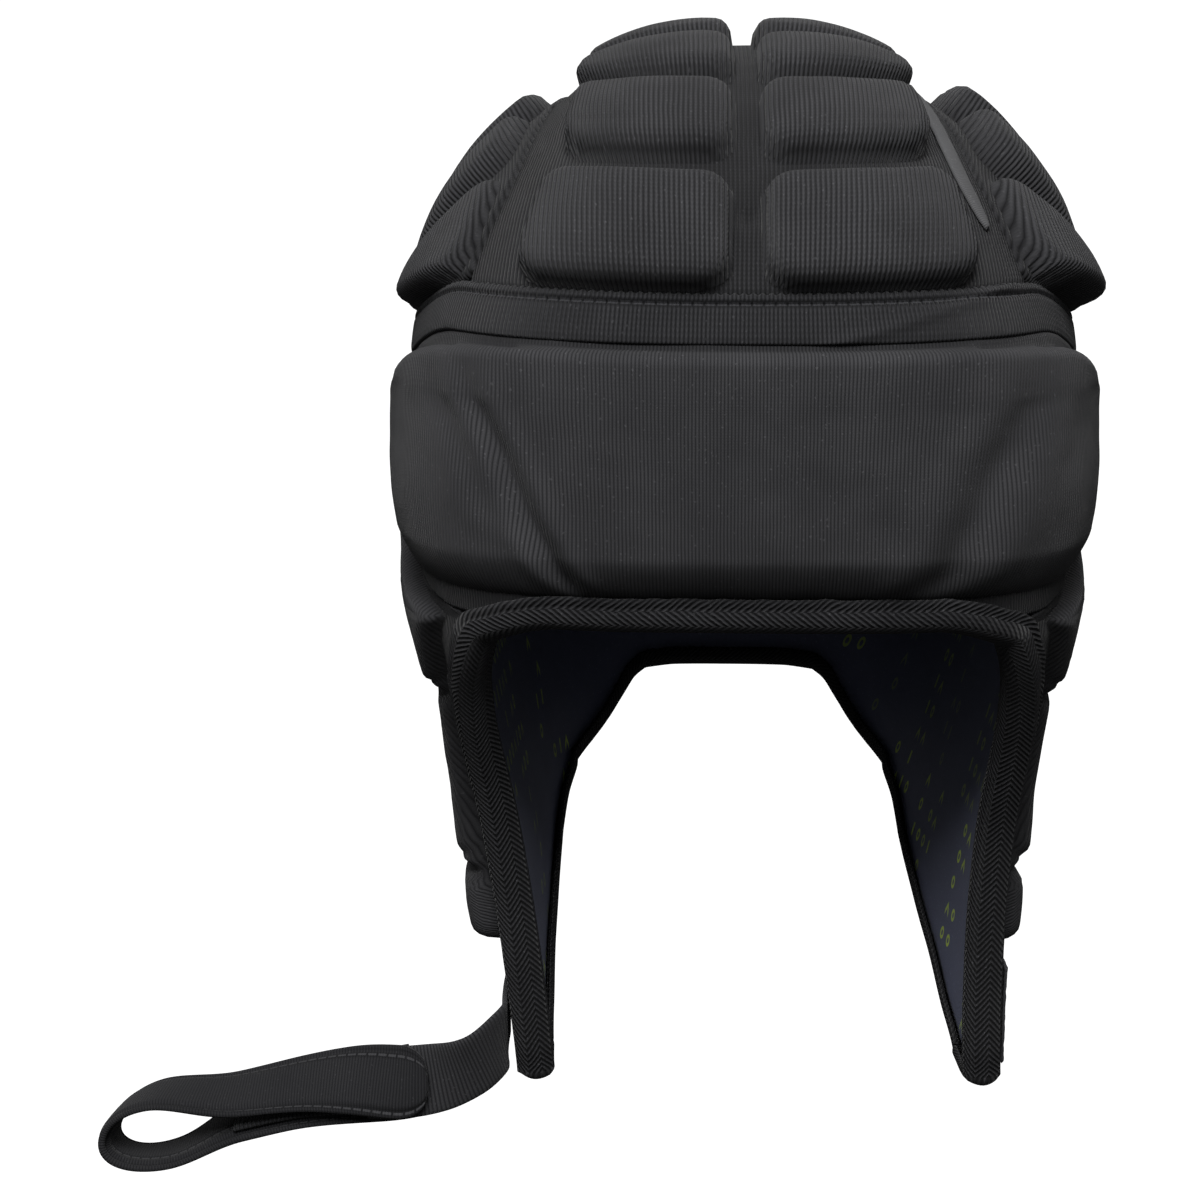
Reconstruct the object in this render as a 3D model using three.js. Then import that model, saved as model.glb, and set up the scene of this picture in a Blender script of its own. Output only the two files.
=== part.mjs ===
// Soft shell helmet for contact sports: a cap of cloth-covered foam pads with two ear flaps, an elastic
// brow band, an edge binding, a thin lining and a chin strap that hangs open from the wearer's right flap.
// Millimetres, +Z up. The wearer looks along -Y and the wearer's left is +X.
// The origin is the inside of the crown at its highest point, where the helmet rests on a head.
import * as THREE from 'three';

// The head hollow, measured on the inner face of the lining
const HOLLOW_HALF_WIDTH = 72;
const HOLLOW_HALF_LENGTH = 101;
const CROWN_RISE = 67; // from the widest level up to the inside of the crown
const DOME_SQUARENESS = 2.5; // plan exponent of the dome near its top; 2 is an ellipse
const DOME_FULLNESS = 2; // exponent of the dome's upright sections
const DOME_TURN = 0.7; // share of the crown's rise over which the plan rounds off
const SKIRT_SQUARENESS = 3.6; // the same at the widest level
const FLAP_DROP = 172; // from the widest level down to the flap tips
const FLAP_LEAN = 6; // both soft flap tips lie this far towards +X
const LEAN_FROM = 0.3; // the lean starts this share of the hollow's half length behind its middle
const LEAN_SPAN = 0.8; // and is whole this share further forward

// Layers, counted outwards from the hollow
const LINING_THICKNESS = 1.2;
const CLEARANCE = 0.3; // between two pieces that lie face to face
const FACET_ROOM = 1; // the panels' flat facets cut this far inside their curve
const SEAM_GAP = 0.6; // between two panels that meet edge to edge
const SEAM_ANGLE = 0.4; // the same in degrees round the head
const GROUND_THICKNESS = 2.5; // pressed foam and cloth between the pads
const PAD_RISE = 7.5; // crown pads above that ground
const SIDE_PAD_RISE_RIGHT = 5.2; // this side's foam is pressed flatter
const SIDE_PAD_RISE_LEFT = 8;
const TEMPLE_PAD_RISE = 4.5;
const FLAP_PAD_RISE = 5.8;
const BROW_RISE = 8;
const BROW_WING = 0.8; // height of the brow pad at its side edges as a share of its middle
const NAPE_PAD_RISE = 7.5;
const PAD_WALL = 2.4; // how far in from a crown pad's edge its steep side wall reaches
const PAD_FULLNESS = 6; // exponent of a pad's profile; 2 is round and more is squarer

// Brow band
const BAND_WIDTH = 9.5;
const BAND_THICKNESS = 3;
const BAND_STATIONS = 72;

// Crown panel
const CROWN_ROWS = 8;
const CROWN_ROW_GAP = 6;
const CROWN_MARGIN = 0.5; // plain ground between the end rows and the band
const CENTRE_GROOVE = 5;
const PADDED_SHARE = 0.85; // of the way from the middle to the crown seam; the rest is plain ribbed ground
const LEVEL_ROWS = 3; // the higher, the more of the crown's rows run level round the head

// Side panels, in shares along the panel or across it
const SIDE_PAD_GAP = 0.024;
const SIDE_PAD_WALL = 0.03;
const SIDE_PAD_TOP = 0.17;
const SIDE_PAD_BOTTOM = 0.965;
const SIDE_PAD_SHOULDER = 0.16;

// Rim
const BROW_DROP = 48; // widest level down to the rim over the brow
const NAPE_DROP = 101;
const BINDING_WIDTH = 6.2; // of each leg of the folded tape
const BINDING_THICKNESS = 1.4;
const BINDING_ROUND = [0.7, 0.2]; // corners of its fold, as shares of the edge's thickness

// Chin strap
const STRAP_WIDTH = 17;
const STRAP_THICKNESS = 1.5;
const STRAP_ROOM = 0.6; // the flat webbing cuts this far into the curve of the flap
const STRAP_REACH = 95.5; // from the flap's edge to the fold of the tab
const STRAP_ON_FLAP = 20; // degrees round the head over which the webbing lies on the flap
const STRAP_LIFT = 10.5; // middle of the webbing over the flap's tip
const TAB_WIDTH = 17.5;
const TAB_THICKNESS = 2.6;
const TAB_END = 0.19; // where the folded-back layer ends, as a share of the strap's reach
const TAB_END_NARROW = 0.6; // width of its rounded end as a share of the tab's
const TAB_FOLD = 0.86; // where the two layers start to close into the fold
const HOOK_WIDTH = 14;
const HOOK_THICKNESS = 0.8;
const LOOP_PATCH_LENGTH = 27;
const LOOP_PATCH_SPAN = 9; // degrees round the head
const LOOP_PATCH_THICKNESS = 1.2;
const SEAM_STRIP_WIDTH = 3.4;
const SEAM_STRIP_THICKNESS = 1;
const STRIP_STATIONS = [0, 0.12, 0.3, 0.5, 0.7, 0.88, 1];
const STRIP_TIP = 0.3; // width of its ends as a share of its middle
const STRIP_START = 26; // degrees over the head
const STRIP_END = 64;
const STRIP_INSET = 4.5; // from the seam to the middle of the strip

// Offsets of the layers from the hollow
const GROUND_IN = LINING_THICKNESS + CLEARANCE + FACET_ROOM;
const GROUND_OUT = GROUND_IN + GROUND_THICKNESS;
const OVER_BINDING = GROUND_OUT + BINDING_THICKNESS + 4 * CLEARANCE;

const DEG = Math.PI / 180;

// Plan sections of the skirt below the widest level. drop is a share of FLAP_DROP; width, front and back
// are shares of the hollow's half width and half length; toeIn is how much narrower the back is than the
// front.
const SKIRT = [
  { drop: 0.0, width: 1.0, front: 1.0, back: 1.0, square: SKIRT_SQUARENESS, toeIn: 0.0 },
  { drop: 0.14, width: 0.995, front: 1.005, back: 0.995, square: 4.0, toeIn: 0.02 },
  { drop: 0.29, width: 0.955, front: 1.0, back: 0.98, square: 4.0, toeIn: 0.03 },
  { drop: 0.43, width: 0.875, front: 0.99, back: 0.94, square: 3.6, toeIn: 0.06 },
  { drop: 0.62, width: 0.775, front: 0.975, back: 0.87, square: 3.2, toeIn: 0.1 },
  { drop: 0.8, width: 0.705, front: 0.96, back: 0.84, square: 3.2, toeIn: 0.17 },
  { drop: 1.0, width: 0.66, front: 0.94, back: 0.82, square: 3.2, toeIn: 0.25 },
];

// Upper edge of the brow band: height over the widest level, as a share of CROWN_RISE, by plan angle
const BAND_EDGE = [
  { angle: 0, height: 0.29 },
  { angle: 46, height: 0.29 },
  { angle: 62, height: 0.19 },
  { angle: 80, height: 0.12 },
  { angle: 110, height: 0.1 },
  { angle: 180, height: 0.1 },
];

// Crown seam: reach is its distance from the middle, as a share of the hollow's half width, by angle over
// the head
const CROWN_SEAM = [
  { angle: 0, reach: 0.86 },
  { angle: 18, reach: 0.78 },
  { angle: 40, reach: 0.65 },
  { angle: 66, reach: 0.57 },
  { angle: 90, reach: 0.545 },
  { angle: 125, reach: 0.575 },
  { angle: 180, reach: 0.75 },
];

// Stations of a side panel from its front tip to its back tip: angle over the head on the crown seam, and
// plan angle on the brow band
const SIDE_STATIONS = [
  { share: 0.0, seam: 19, band: 49.5 },
  { share: 0.2, seam: 41, band: 70 },
  { share: 0.4, seam: 62, band: 86 },
  { share: 0.6, seam: 96, band: 101 },
  { share: 0.8, seam: 130, band: 117 },
  { share: 1.0, seam: 173, band: 136 },
];

// The rim over the brow as a share of the flaps' drop
const BROW = BROW_DROP / FLAP_DROP;

// Edges of an ear panel by level: drop is a share of FLAP_DROP, front and rear are plan angles
const EAR_EDGES = [
  { drop: 0.0, front: 62.5, rear: 125 },
  { drop: 0.65 * BROW, front: 61.5, rear: 125 },
  { drop: 0.835 * BROW, front: 59.5, rear: 125 },
  { drop: 0.95 * BROW, front: 52.5, rear: 125 },
  { drop: 0.993 * BROW, front: 46, rear: 125 },
  { drop: 1.036 * BROW, front: 38.6, rear: 125 },
  { drop: 1.105 * BROW, front: 40.6, rear: 125 },
  { drop: 1.23 * BROW, front: 43.4, rear: 125 },
  { drop: 0.405, front: 47.8, rear: 125 },
  { drop: 0.52, front: 53.5, rear: 125 },
  { drop: 0.62, front: 56.5, rear: 125 },
  { drop: 0.72, front: 58, rear: 125 },
  { drop: 0.76, front: 58.4, rear: 117 },
  { drop: 0.815, front: 58.7, rear: 106.5 },
  { drop: 0.86, front: 59, rear: 97 },
  { drop: 0.905, front: 59.2, rear: 89.5 },
  { drop: 0.95, front: 59.5, rear: 83.5 },
  { drop: 1.0, front: 60.5, rear: 73 },
];

// Rim at the back, from the ear panel round to the middle of the nape
const NAPE_EDGE = [
  { angle: 125, drop: 0.72 },
  { angle: 129, drop: 0.711 },
  { angle: 133, drop: 0.697 },
  { angle: 137, drop: 0.679 },
  { angle: 141, drop: 0.655 },
  { angle: 146, drop: 0.623 },
  { angle: 150, drop: 0.601 },
  { angle: 154, drop: 0.592 },
  { angle: 162, drop: NAPE_DROP / FLAP_DROP },
  { angle: 171, drop: NAPE_DROP / FLAP_DROP },
  { angle: 180, drop: NAPE_DROP / FLAP_DROP },
];

// Grid of an ear panel: its rows run level from this drop down, and its pads' walls are so wide
const EAR_LEVEL_DROP = 0.18;
const EAR_WALL_ALONG = 0.018;
const EAR_WALL_ACROSS = 0.025;
const EAR_CORNER_COLUMNS = [0.05, 0.2]; // closer columns where it turns the corner of the face opening

// Plan angles of the rim over the brow, from its middle to the corner of the face opening
const BROW_RIM = [0, 9, 18, 26, 32, 36];

const FLAP_TIP = 67; // plan angle of the middle of a flap's tip

// Rows of the lining: shares of CROWN_RISE, and below the widest level shares of the way to the rim
const LINING_DOME = [0.95, 0.8, 0.57, 0.29];
const LINING_SKIRT = [0, 0.18, 0.34, 0.5, 0.66, 0.83, 1];

// Pads of the nape panel: columns as shares from its middle to its side edge, rows as shares downwards
const NAPE_PAD_COLUMNS = [[-0.31, 0.31], [0.36, 0.96]];
const NAPE_PAD_ROWS = [[0.03, 0.46], [0.51, 0.89]];
const NAPE_WALL = 0.045;
const NAPE_SPAN = 180 - NAPE_EDGE[0].angle - SEAM_ANGLE; // degrees from the middle to a side edge

// Pads of an ear panel: top and bottom are shares of FLAP_DROP, from and to are shares across the panel,
// rise is in millimetres
const EAR_PADS = [
  { top: 0.02, bottom: 0.405, from: 0.1, to: 0.52, rise: TEMPLE_PAD_RISE },
  { top: 0.02, bottom: 0.405, from: 0.55, to: 0.97, rise: TEMPLE_PAD_RISE },
  { top: 0.42, bottom: 0.69, from: 0.1, to: 0.52, rise: FLAP_PAD_RISE },
  { top: 0.42, bottom: 0.69, from: 0.55, to: 0.97, rise: FLAP_PAD_RISE },
  { top: 0.705, bottom: 0.825, from: 0.1, to: 0.52, rise: FLAP_PAD_RISE },
];

// Chin strap, from the front edge of the right flap to the fold of its tab: x, y and z are shares of
// STRAP_REACH, tilt turns the tape's width from upright towards the front, and spread is half the distance
// between the two layers of the tab, again as a share of STRAP_REACH
const STRAP_PATH = [
  { x: 0.0, y: 0.0, z: 0.0, tilt: 0, spread: 0.03 },
  { x: 0.04, y: -0.04, z: -0.03, tilt: -10, spread: 0.03 },
  { x: 0.09, y: -0.06, z: -0.055, tilt: -10, spread: 0.03 },
  { x: 0.16, y: -0.07, z: -0.075, tilt: 4, spread: 0.03 },
  { x: 0.25, y: -0.08, z: -0.085, tilt: 22, spread: 0.03 },
  { x: 0.34, y: -0.08, z: -0.09, tilt: 40, spread: 0.03 },
  { x: 0.48, y: -0.08, z: -0.11, tilt: 62, spread: 0.031 },
  { x: 0.66, y: -0.08, z: -0.145, tilt: 74, spread: 0.034 },
  { x: 0.86, y: -0.08, z: -0.185, tilt: 77, spread: 0.06 },
  { x: 1.0, y: -0.08, z: -0.215, tilt: 77, spread: 0.055 },
];
const SEWN_STATIONS = [1, 0.66, 0.33, 0];
const WEBBING_STATIONS = [0.03, 0.06, 0.09, 0.125, 0.16, 0.2, 0.25, 0.3, 0.34];
const TAB_STATIONS = [0.22, 0.3, 0.38, 0.46, 0.56, 0.66, 0.76, 0.84, 0.91, 0.965];
const HOOK_STATIONS = [0.4, 0.47, 0.54, 0.61, 0.68];

// Rows of the brow piece: drop is a share of BROW_DROP, blend goes from the brow band's edge to that level,
// rise is a share of BROW_RISE
const BROW_ROWS = [
  { drop: 0, blend: 0, rise: 0 },
  { drop: 0, blend: 0.72, rise: 0 },
  { drop: 0.018, blend: 1, rise: 0.92 },
  { drop: 0.254, blend: 1, rise: 1 },
  { drop: 0.507, blend: 1, rise: 1 },
  { drop: 0.743, blend: 1, rise: 0.92 },
  { drop: 0.863, blend: 1, rise: 0 },
  { drop: 0.95, blend: 1, rise: 0 },
  { drop: 0.993, blend: 1, rise: 0 },
  { drop: 1, blend: 1, rise: 0 },
];

// Columns of the brow piece, as shares from its middle to its side edge; its pad ends at the second
const BROW_COLUMNS = [1, 0.985, 0.945, 0.88, 0.81, 0.74, 0.66, 0.57, 0.45, 0.24];

const { clamp, lerp } = THREE.MathUtils;

// Reads a column of a table between its rows, along a smooth curve that doesn't overshoot
function readTable(table, key, value, column) {
  const last = table.length - 1;
  const at = clamp(value, table[0][key], table[last][key]);
  let i = 0;
  while (i < last - 1 && at > table[i + 1][key]) {
    i += 1;
  }
  const slope = (k) => (table[k + 1][column] - table[k][column]) / (table[k + 1][key] - table[k][key]);
  const tangent = (k) => {
    if (k === 0 || k === last) {
      return 0;
    }
    const [before, after] = [slope(k - 1), slope(k)];
    return before * after > 0 ? (2 * before * after) / (before + after) : 0;
  };
  const step = table[i + 1][key] - table[i][key];
  const t = (at - table[i][key]) / step;
  const rise = table[i + 1][column] - table[i][column];
  return (
    table[i][column] +
    rise * t * t * (3 - 2 * t) +
    step * (t * (1 - t) * ((1 - t) * tangent(i) - t * tangent(i + 1)))
  );
}

// The plan section of the hollow at a height over the widest level
function section(height) {
  if (height >= 0) {
    const square = lerp(SKIRT_SQUARENESS, DOME_SQUARENESS, clamp(height / (CROWN_RISE * DOME_TURN), 0, 1));
    const half = HOLLOW_HALF_LENGTH;
    return { width: HOLLOW_HALF_WIDTH, front: half, back: half, square, toeIn: 0 };
  }
  const drop = -height / FLAP_DROP;
  return {
    width: HOLLOW_HALF_WIDTH * readTable(SKIRT, 'drop', drop, 'width'),
    front: HOLLOW_HALF_LENGTH * readTable(SKIRT, 'drop', drop, 'front'),
    back: HOLLOW_HALF_LENGTH * readTable(SKIRT, 'drop', drop, 'back'),
    square: readTable(SKIRT, 'drop', drop, 'square'),
    toeIn: readTable(SKIRT, 'drop', drop, 'toeIn'),
  };
}

// How far the soft flaps lean to +X at a point: most at the front of the tips, nothing at the nape
function lean(y, height) {
  const low = clamp(-height / FLAP_DROP, 0, 1);
  const forward = clamp((LEAN_FROM - y / HOLLOW_HALF_LENGTH) / LEAN_SPAN, 0, 1);
  return FLAP_LEAN * low * low * forward;
}

// A point of the hollow's surface by plan angle (0 is the front, 90 the wearer's left) and height
function hollowPoint(angle, height) {
  const s = section(height);
  const [side, fore] = [Math.sin(angle * DEG), Math.cos(angle * DEG)];
  const radius = (Math.abs(side) ** s.square + Math.abs(fore) ** s.square) ** (-1 / s.square);
  const dome = Math.max(height, 0) / CROWN_RISE;
  const scale = Math.max(1 - dome ** DOME_FULLNESS, 0) ** (1 / DOME_FULLNESS) * radius;
  const length = fore > 0 ? s.front : s.back;
  const y = -fore * scale * length;
  const x = side * scale * s.width * (1 - (s.toeIn * y) / length);
  return new THREE.Vector3(x + lean(y, height), y, height);
}

// Negative inside the hollow, zero on its surface
function hollowField(p) {
  const s = section(p.z);
  const length = p.y < 0 ? s.front : s.back;
  const x = (p.x - lean(p.y, p.z)) / (s.width * (1 - (s.toeIn * p.y) / length));
  const plan = (Math.abs(x) ** s.square + Math.abs(p.y / length) ** s.square) ** (1 / s.square);
  const dome = Math.max(p.z, 0) / CROWN_RISE;
  return (plan ** DOME_FULLNESS + dome ** DOME_FULLNESS) ** (1 / DOME_FULLNESS) - 1;
}

// The outward direction of the hollow's surface at a point
function hollowNormal(p) {
  const h = 0.5;
  const across = (axis) => {
    const step = new THREE.Vector3().setComponent(axis, h);
    return hollowField(p.clone().add(step)) - hollowField(p.clone().sub(step));
  };
  return new THREE.Vector3(across(0), across(1), across(2)).normalize();
}

// Where a ray from an inside point meets the hollow's surface
function castOut(from, direction) {
  const at = (t) => from.clone().addScaledVector(direction, t);
  let [near, far] = [0, 4];
  for (let i = 0; i < 40; i += 1) {
    const mid = (near + far) / 2;
    if (hollowField(at(mid)) < 0) {
      near = mid;
    } else {
      far = mid;
    }
  }
  return at(near);
}

const bandTop = (angle) => CROWN_RISE * readTable(BAND_EDGE, 'angle', Math.abs(angle), 'height');
const bandBottom = (angle) => bandTop(angle) - BAND_WIDTH;

// A point of the crown: angle over the head from the front (0) to the back (180), aside in mm from its
// middle. Low rows run level round the head and the top rows run straight across it.
function crownPoint(angle, aside) {
  const [fore, up] = [Math.cos(angle * DEG), Math.sin(angle * DEG)];
  const level = CROWN_RISE * up;
  const pivot = level * (1 - (1 - Math.abs(fore)) ** LEVEL_ROWS);
  const from = new THREE.Vector3(aside, 0, pivot);
  return castOut(from, new THREE.Vector3(0, -HOLLOW_HALF_LENGTH * fore, level - pivot));
}

const seamReach = (angle) => HOLLOW_HALF_WIDTH * readTable(CROWN_SEAM, 'angle', angle, 'reach');

// A closed solid from a grid of points on the hollow's surface: its outer face lies at outer(row, column)
// and its inner face at inner(row, column) from the hollow. A ring joins its last column to its first, and
// with a pole its first row closes on that point.
function sheet(points, outer, inner, ring = false, pole = null) {
  const rows = points.length;
  const columns = points[0].length;
  const positions = [];
  const index = [];
  [outer, inner].forEach((offset) => {
    points.forEach((row, i) => {
      row.forEach((p, j) => {
        const q = p.clone().addScaledVector(hollowNormal(p), offset(i, j));
        positions.push(q.x, q.y, q.z);
      });
    });
  });
  const at = (side, i, j) => (side * rows + i) * columns + (j % columns);
  const quad = (a, b, c, d) => index.push(a, b, c, a, c, d);
  const spans = ring ? columns : columns - 1;
  for (let i = 0; i < rows - 1; i += 1) {
    for (let j = 0; j < spans; j += 1) {
      quad(at(0, i, j), at(0, i, j + 1), at(0, i + 1, j + 1), at(0, i + 1, j));
      quad(at(1, i, j), at(1, i + 1, j), at(1, i + 1, j + 1), at(1, i, j + 1));
    }
    if (!ring) {
      quad(at(0, i, 0), at(0, i + 1, 0), at(1, i + 1, 0), at(1, i, 0));
      quad(at(0, i, spans), at(1, i, spans), at(1, i + 1, spans), at(0, i + 1, spans));
    }
  }
  if (pole) {
    const first = positions.length / 3;
    [outer, inner].forEach((offset) => {
      const q = pole.clone().addScaledVector(hollowNormal(pole), offset(0, 0));
      positions.push(q.x, q.y, q.z);
    });
    for (let j = 0; j < spans; j += 1) {
      index.push(first, at(0, 0, j + 1), at(0, 0, j), first + 1, at(1, 0, j), at(1, 0, j + 1));
    }
  }
  for (let j = 0; j < spans; j += 1) {
    if (!pole) {
      quad(at(0, 0, j), at(1, 0, j), at(1, 0, j + 1), at(0, 0, j + 1));
    }
    quad(at(0, rows - 1, j), at(0, rows - 1, j + 1), at(1, rows - 1, j + 1), at(1, rows - 1, j));
  }
  return solid(positions, index);
}

// A geometry whose faces point outwards, whichever way round its grid ran
function solid(positions, index) {
  const geometry = new THREE.BufferGeometry();
  geometry.setAttribute('position', new THREE.Float32BufferAttribute(positions, 3));
  const point = (k) => new THREE.Vector3().fromArray(positions, 3 * index[k]);
  let volume = 0;
  for (let k = 0; k < index.length; k += 3) {
    volume += point(k).dot(point(k + 1).cross(point(k + 2)));
  }
  geometry.setIndex(volume > 0 ? index : index.reverse());
  geometry.computeVertexNormals();
  return geometry;
}

// Grid lines for a row of pads: both ends, each pad's edges, its wall tops and its middle
function padLines(start, end, pads, wall) {
  const lines = [start, end];
  pads.forEach(([from, to]) => {
    const step = Math.min(wall, (to - from) / 4);
    lines.push(from, from + step, lerp(from, to, 0.5), to - step, to);
  });
  return [...new Set(lines)].sort((a, b) => a - b);
}

// How high a pad stands at a position between its two edges, as a share of its rise
function padProfile(value, from, to) {
  const p = Math.abs((2 * value - from - to) / (to - from));
  return p < 1 ? Math.sqrt(1 - p ** PAD_FULLNESS) : 0;
}

const cloth = (name, geometry, color, roughness = 0.9) => {
  const mesh = new THREE.Mesh(geometry, new THREE.MeshStandardMaterial({ color, roughness, metalness: 0 }));
  mesh.name = name;
  return mesh;
};

// Length over the crown's ground from the front edge of the panel, at many small steps
function crownLengths(start, end) {
  const steps = 240;
  const table = [{ length: 0, angle: start }];
  let before = crownPoint(start, 0);
  for (let i = 1; i <= steps; i += 1) {
    const angle = lerp(start, end, i / steps);
    const here = crownPoint(angle, 0);
    table.push({ length: table[i - 1].length + here.distanceTo(before), angle });
    before = here;
  }
  return table;
}

function crownPanel() {
  const start = Math.asin((bandTop(0) + CLEARANCE) / CROWN_RISE) / DEG;
  const end = 180 - Math.asin((bandTop(180) + CLEARANCE) / CROWN_RISE) / DEG;
  const lengths = crownLengths(start, end);
  const total = lengths[lengths.length - 1].length;
  const pitch = (total - 2 * CROWN_MARGIN + CROWN_ROW_GAP) / CROWN_ROWS;
  const rowPads = [];
  for (let i = 0; i < CROWN_ROWS; i += 1) {
    const from = CROWN_MARGIN + i * pitch;
    rowPads.push([from, from + pitch - CROWN_ROW_GAP]);
  }
  const rowLines = padLines(0, total, rowPads, PAD_WALL);
  const inner = CENTRE_GROOVE / 2 / seamReach(90);
  const columnPads = [[-PADDED_SHARE, -inner], [inner, PADDED_SHARE]];
  const columnLines = padLines(-1, 1, columnPads, PAD_WALL / seamReach(90));
  const points = rowLines.map((length) => {
    const angle = readTable(lengths, 'length', length, 'angle');
    return columnLines.map((share) => crownPoint(angle, share * seamReach(angle)));
  });
  const relief = (i, j) => {
    const along = Math.max(...rowPads.map(([from, to]) => padProfile(rowLines[i], from, to)));
    const across = Math.max(...columnPads.map(([from, to]) => padProfile(columnLines[j], from, to)));
    return GROUND_OUT + PAD_RISE * along * across;
  };
  return sheet(points, relief, () => GROUND_IN);
}

// A side panel: a lens between the crown seam and the brow band, with a row of five pads
function sidePanel(side) {
  const spans = SIDE_STATIONS.slice(1).map((row, i) => [
    SIDE_STATIONS[i].share + SIDE_PAD_GAP / 2,
    row.share - SIDE_PAD_GAP / 2,
  ]);
  const along = padLines(0, 1, spans, SIDE_PAD_WALL);
  const across = padLines(0, 1, [[SIDE_PAD_TOP, SIDE_PAD_BOTTOM]], SIDE_PAD_SHOULDER);
  const points = along.map((share) => {
    const seamAngle = readTable(SIDE_STATIONS, 'share', share, 'seam');
    const bandAngle = readTable(SIDE_STATIONS, 'share', share, 'band');
    const top = crownPoint(seamAngle, seamReach(seamAngle) + 2 * SEAM_GAP);
    const low = hollowPoint(bandAngle, bandTop(bandAngle) + CLEARANCE);
    return across.map((t) => {
      const chord = top.clone().lerp(low, t);
      const point = castOut(new THREE.Vector3(0, 0, 0), chord);
      point.x *= side;
      return point;
    });
  });
  const rise = side > 0 ? SIDE_PAD_RISE_LEFT : SIDE_PAD_RISE_RIGHT;
  const relief = (i, j) => {
    const lengthwise = Math.max(...spans.map(([from, to]) => padProfile(along[i], from, to)));
    const crosswise = padProfile(across[j], SIDE_PAD_TOP, SIDE_PAD_BOTTOM);
    return GROUND_OUT + rise * lengthwise * crosswise;
  };
  return sheet(points, relief, () => GROUND_IN);
}

// The elastic band: a closed ring round the head
function browBand() {
  const stations = Array.from({ length: BAND_STATIONS }, (_, i) => (i * 360) / BAND_STATIONS - 180);
  const points = [0, 1].map((share) =>
    stations.map((angle) => hollowPoint(angle, bandTop(angle) - share * BAND_WIDTH)),
  );
  return sheet(points, () => GROUND_IN + BAND_THICKNESS, () => GROUND_IN, true);
}

const earEdge = (height, column) => readTable(EAR_EDGES, 'drop', clamp(-height / FLAP_DROP, 0, 1), column);

// The brow piece: one big pad over the forehead whose wings reach round to the temples
function browPad() {
  const columns = mirrored(BROW_COLUMNS);
  const angleAt = (height, share) => share * (earEdge(height - SEAM_GAP, 'front') - SEAM_ANGLE);
  const points = BROW_ROWS.map((row) =>
    columns.map((share) => {
      const top = bandBottom(angleAt(0, share)) - SEAM_GAP;
      const height = lerp(top, -row.drop * BROW_DROP, row.blend);
      return hollowPoint(angleAt(height, share), height);
    }),
  );
  const relief = (i, j) => {
    const across = padProfile(columns[j], -BROW_COLUMNS[1], BROW_COLUMNS[1]);
    const wing = lerp(1, BROW_WING, columns[j] ** 2);
    return GROUND_OUT + BROW_RISE * BROW_ROWS[i].rise * across * wing;
  };
  return sheet(points, relief, () => GROUND_IN);
}

// Shares from one side to the other, from those of one side
const mirrored = (shares) => [...shares.map((share) => -share), 0, ...[...shares].reverse()];

// Levels of an ear panel's grid, as shares of FLAP_DROP: the edges of its pads and of its outline
function earDrops() {
  const pads = EAR_PADS.filter((pad) => pad.from < 0.5).map((pad) => [pad.top, pad.bottom]);
  const levels = [...padLines(0, 1, pads, EAR_WALL_ALONG), ...EAR_EDGES.map((row) => row.drop)];
  return [...new Set(levels)].sort((a, b) => a - b);
}

// An ear panel with its flap: side is +1 on the wearer's left
function earPanel(side) {
  const drops = earDrops();
  const spans = EAR_PADS.map((pad) => [pad.from, pad.to]);
  const shares = [...padLines(0, 1, spans, EAR_WALL_ACROSS), ...EAR_CORNER_COLUMNS].sort((a, b) => a - b);
  const points = drops.map((drop) =>
    shares.map((share) => {
      const level = -drop * FLAP_DROP;
      const angle = lerp(earEdge(level, 'front'), earEdge(level, 'rear') - SEAM_ANGLE, share);
      const top = bandBottom(angle) - SEAM_GAP;
      const height = lerp(top, level, Math.min(drop / EAR_LEVEL_DROP, 1));
      return hollowPoint(side * angle, height);
    }),
  );
  const relief = (i, j) => {
    const rises = EAR_PADS.map((pad) => {
      const along = padProfile(drops[i], pad.top, pad.bottom);
      return pad.rise * along * padProfile(shares[j], pad.from, pad.to);
    });
    return GROUND_OUT + Math.max(...rises);
  };
  return sheet(points, relief, () => GROUND_IN);
}

// Columns of the nape panel on the wearer's left, as shares from its side edge (1) to its middle (0)
function napeShares() {
  const outline = NAPE_EDGE.slice(1, -1).map((row) => (180 - row.angle) / NAPE_SPAN);
  const lines = [...padLines(0, 1, NAPE_PAD_COLUMNS, NAPE_WALL), ...outline].filter((share) => share >= 0);
  return [...new Set(lines)].sort((a, b) => b - a);
}

// The nape panel between the two ear panels, with three pads in each of two rows
function napePanel() {
  const columns = mirrored(napeShares().slice(0, -1));
  const rows = padLines(0, 1, NAPE_PAD_ROWS, NAPE_WALL);
  const points = rows.map((share) =>
    columns.map((column) => {
      const around = 180 - Math.abs(column) * NAPE_SPAN;
      const top = bandBottom(around) - SEAM_GAP;
      return hollowPoint(180 + column * NAPE_SPAN, lerp(top, -rimDrop(around) * FLAP_DROP, share));
    }),
  );
  const relief = (i, j) => {
    const aside = Math.abs(columns[j]);
    const along = Math.max(...NAPE_PAD_ROWS.map(([from, to]) => padProfile(rows[i], from, to)));
    const across = Math.max(...NAPE_PAD_COLUMNS.map(([from, to]) => padProfile(aside, from, to)));
    return GROUND_OUT + NAPE_PAD_RISE * along * across;
  };
  return sheet(points, relief, () => GROUND_IN);
}

// Level of the nape's rim, straight between the rows of its table
function rimDrop(angle) {
  const next = Math.max(NAPE_EDGE.findIndex((row) => row.angle >= Math.min(angle, 180)), 1);
  const [before, after] = [NAPE_EDGE[next - 1], NAPE_EDGE[next]];
  return lerp(before.drop, after.drop, (angle - before.angle) / (after.angle - before.angle));
}

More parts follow.
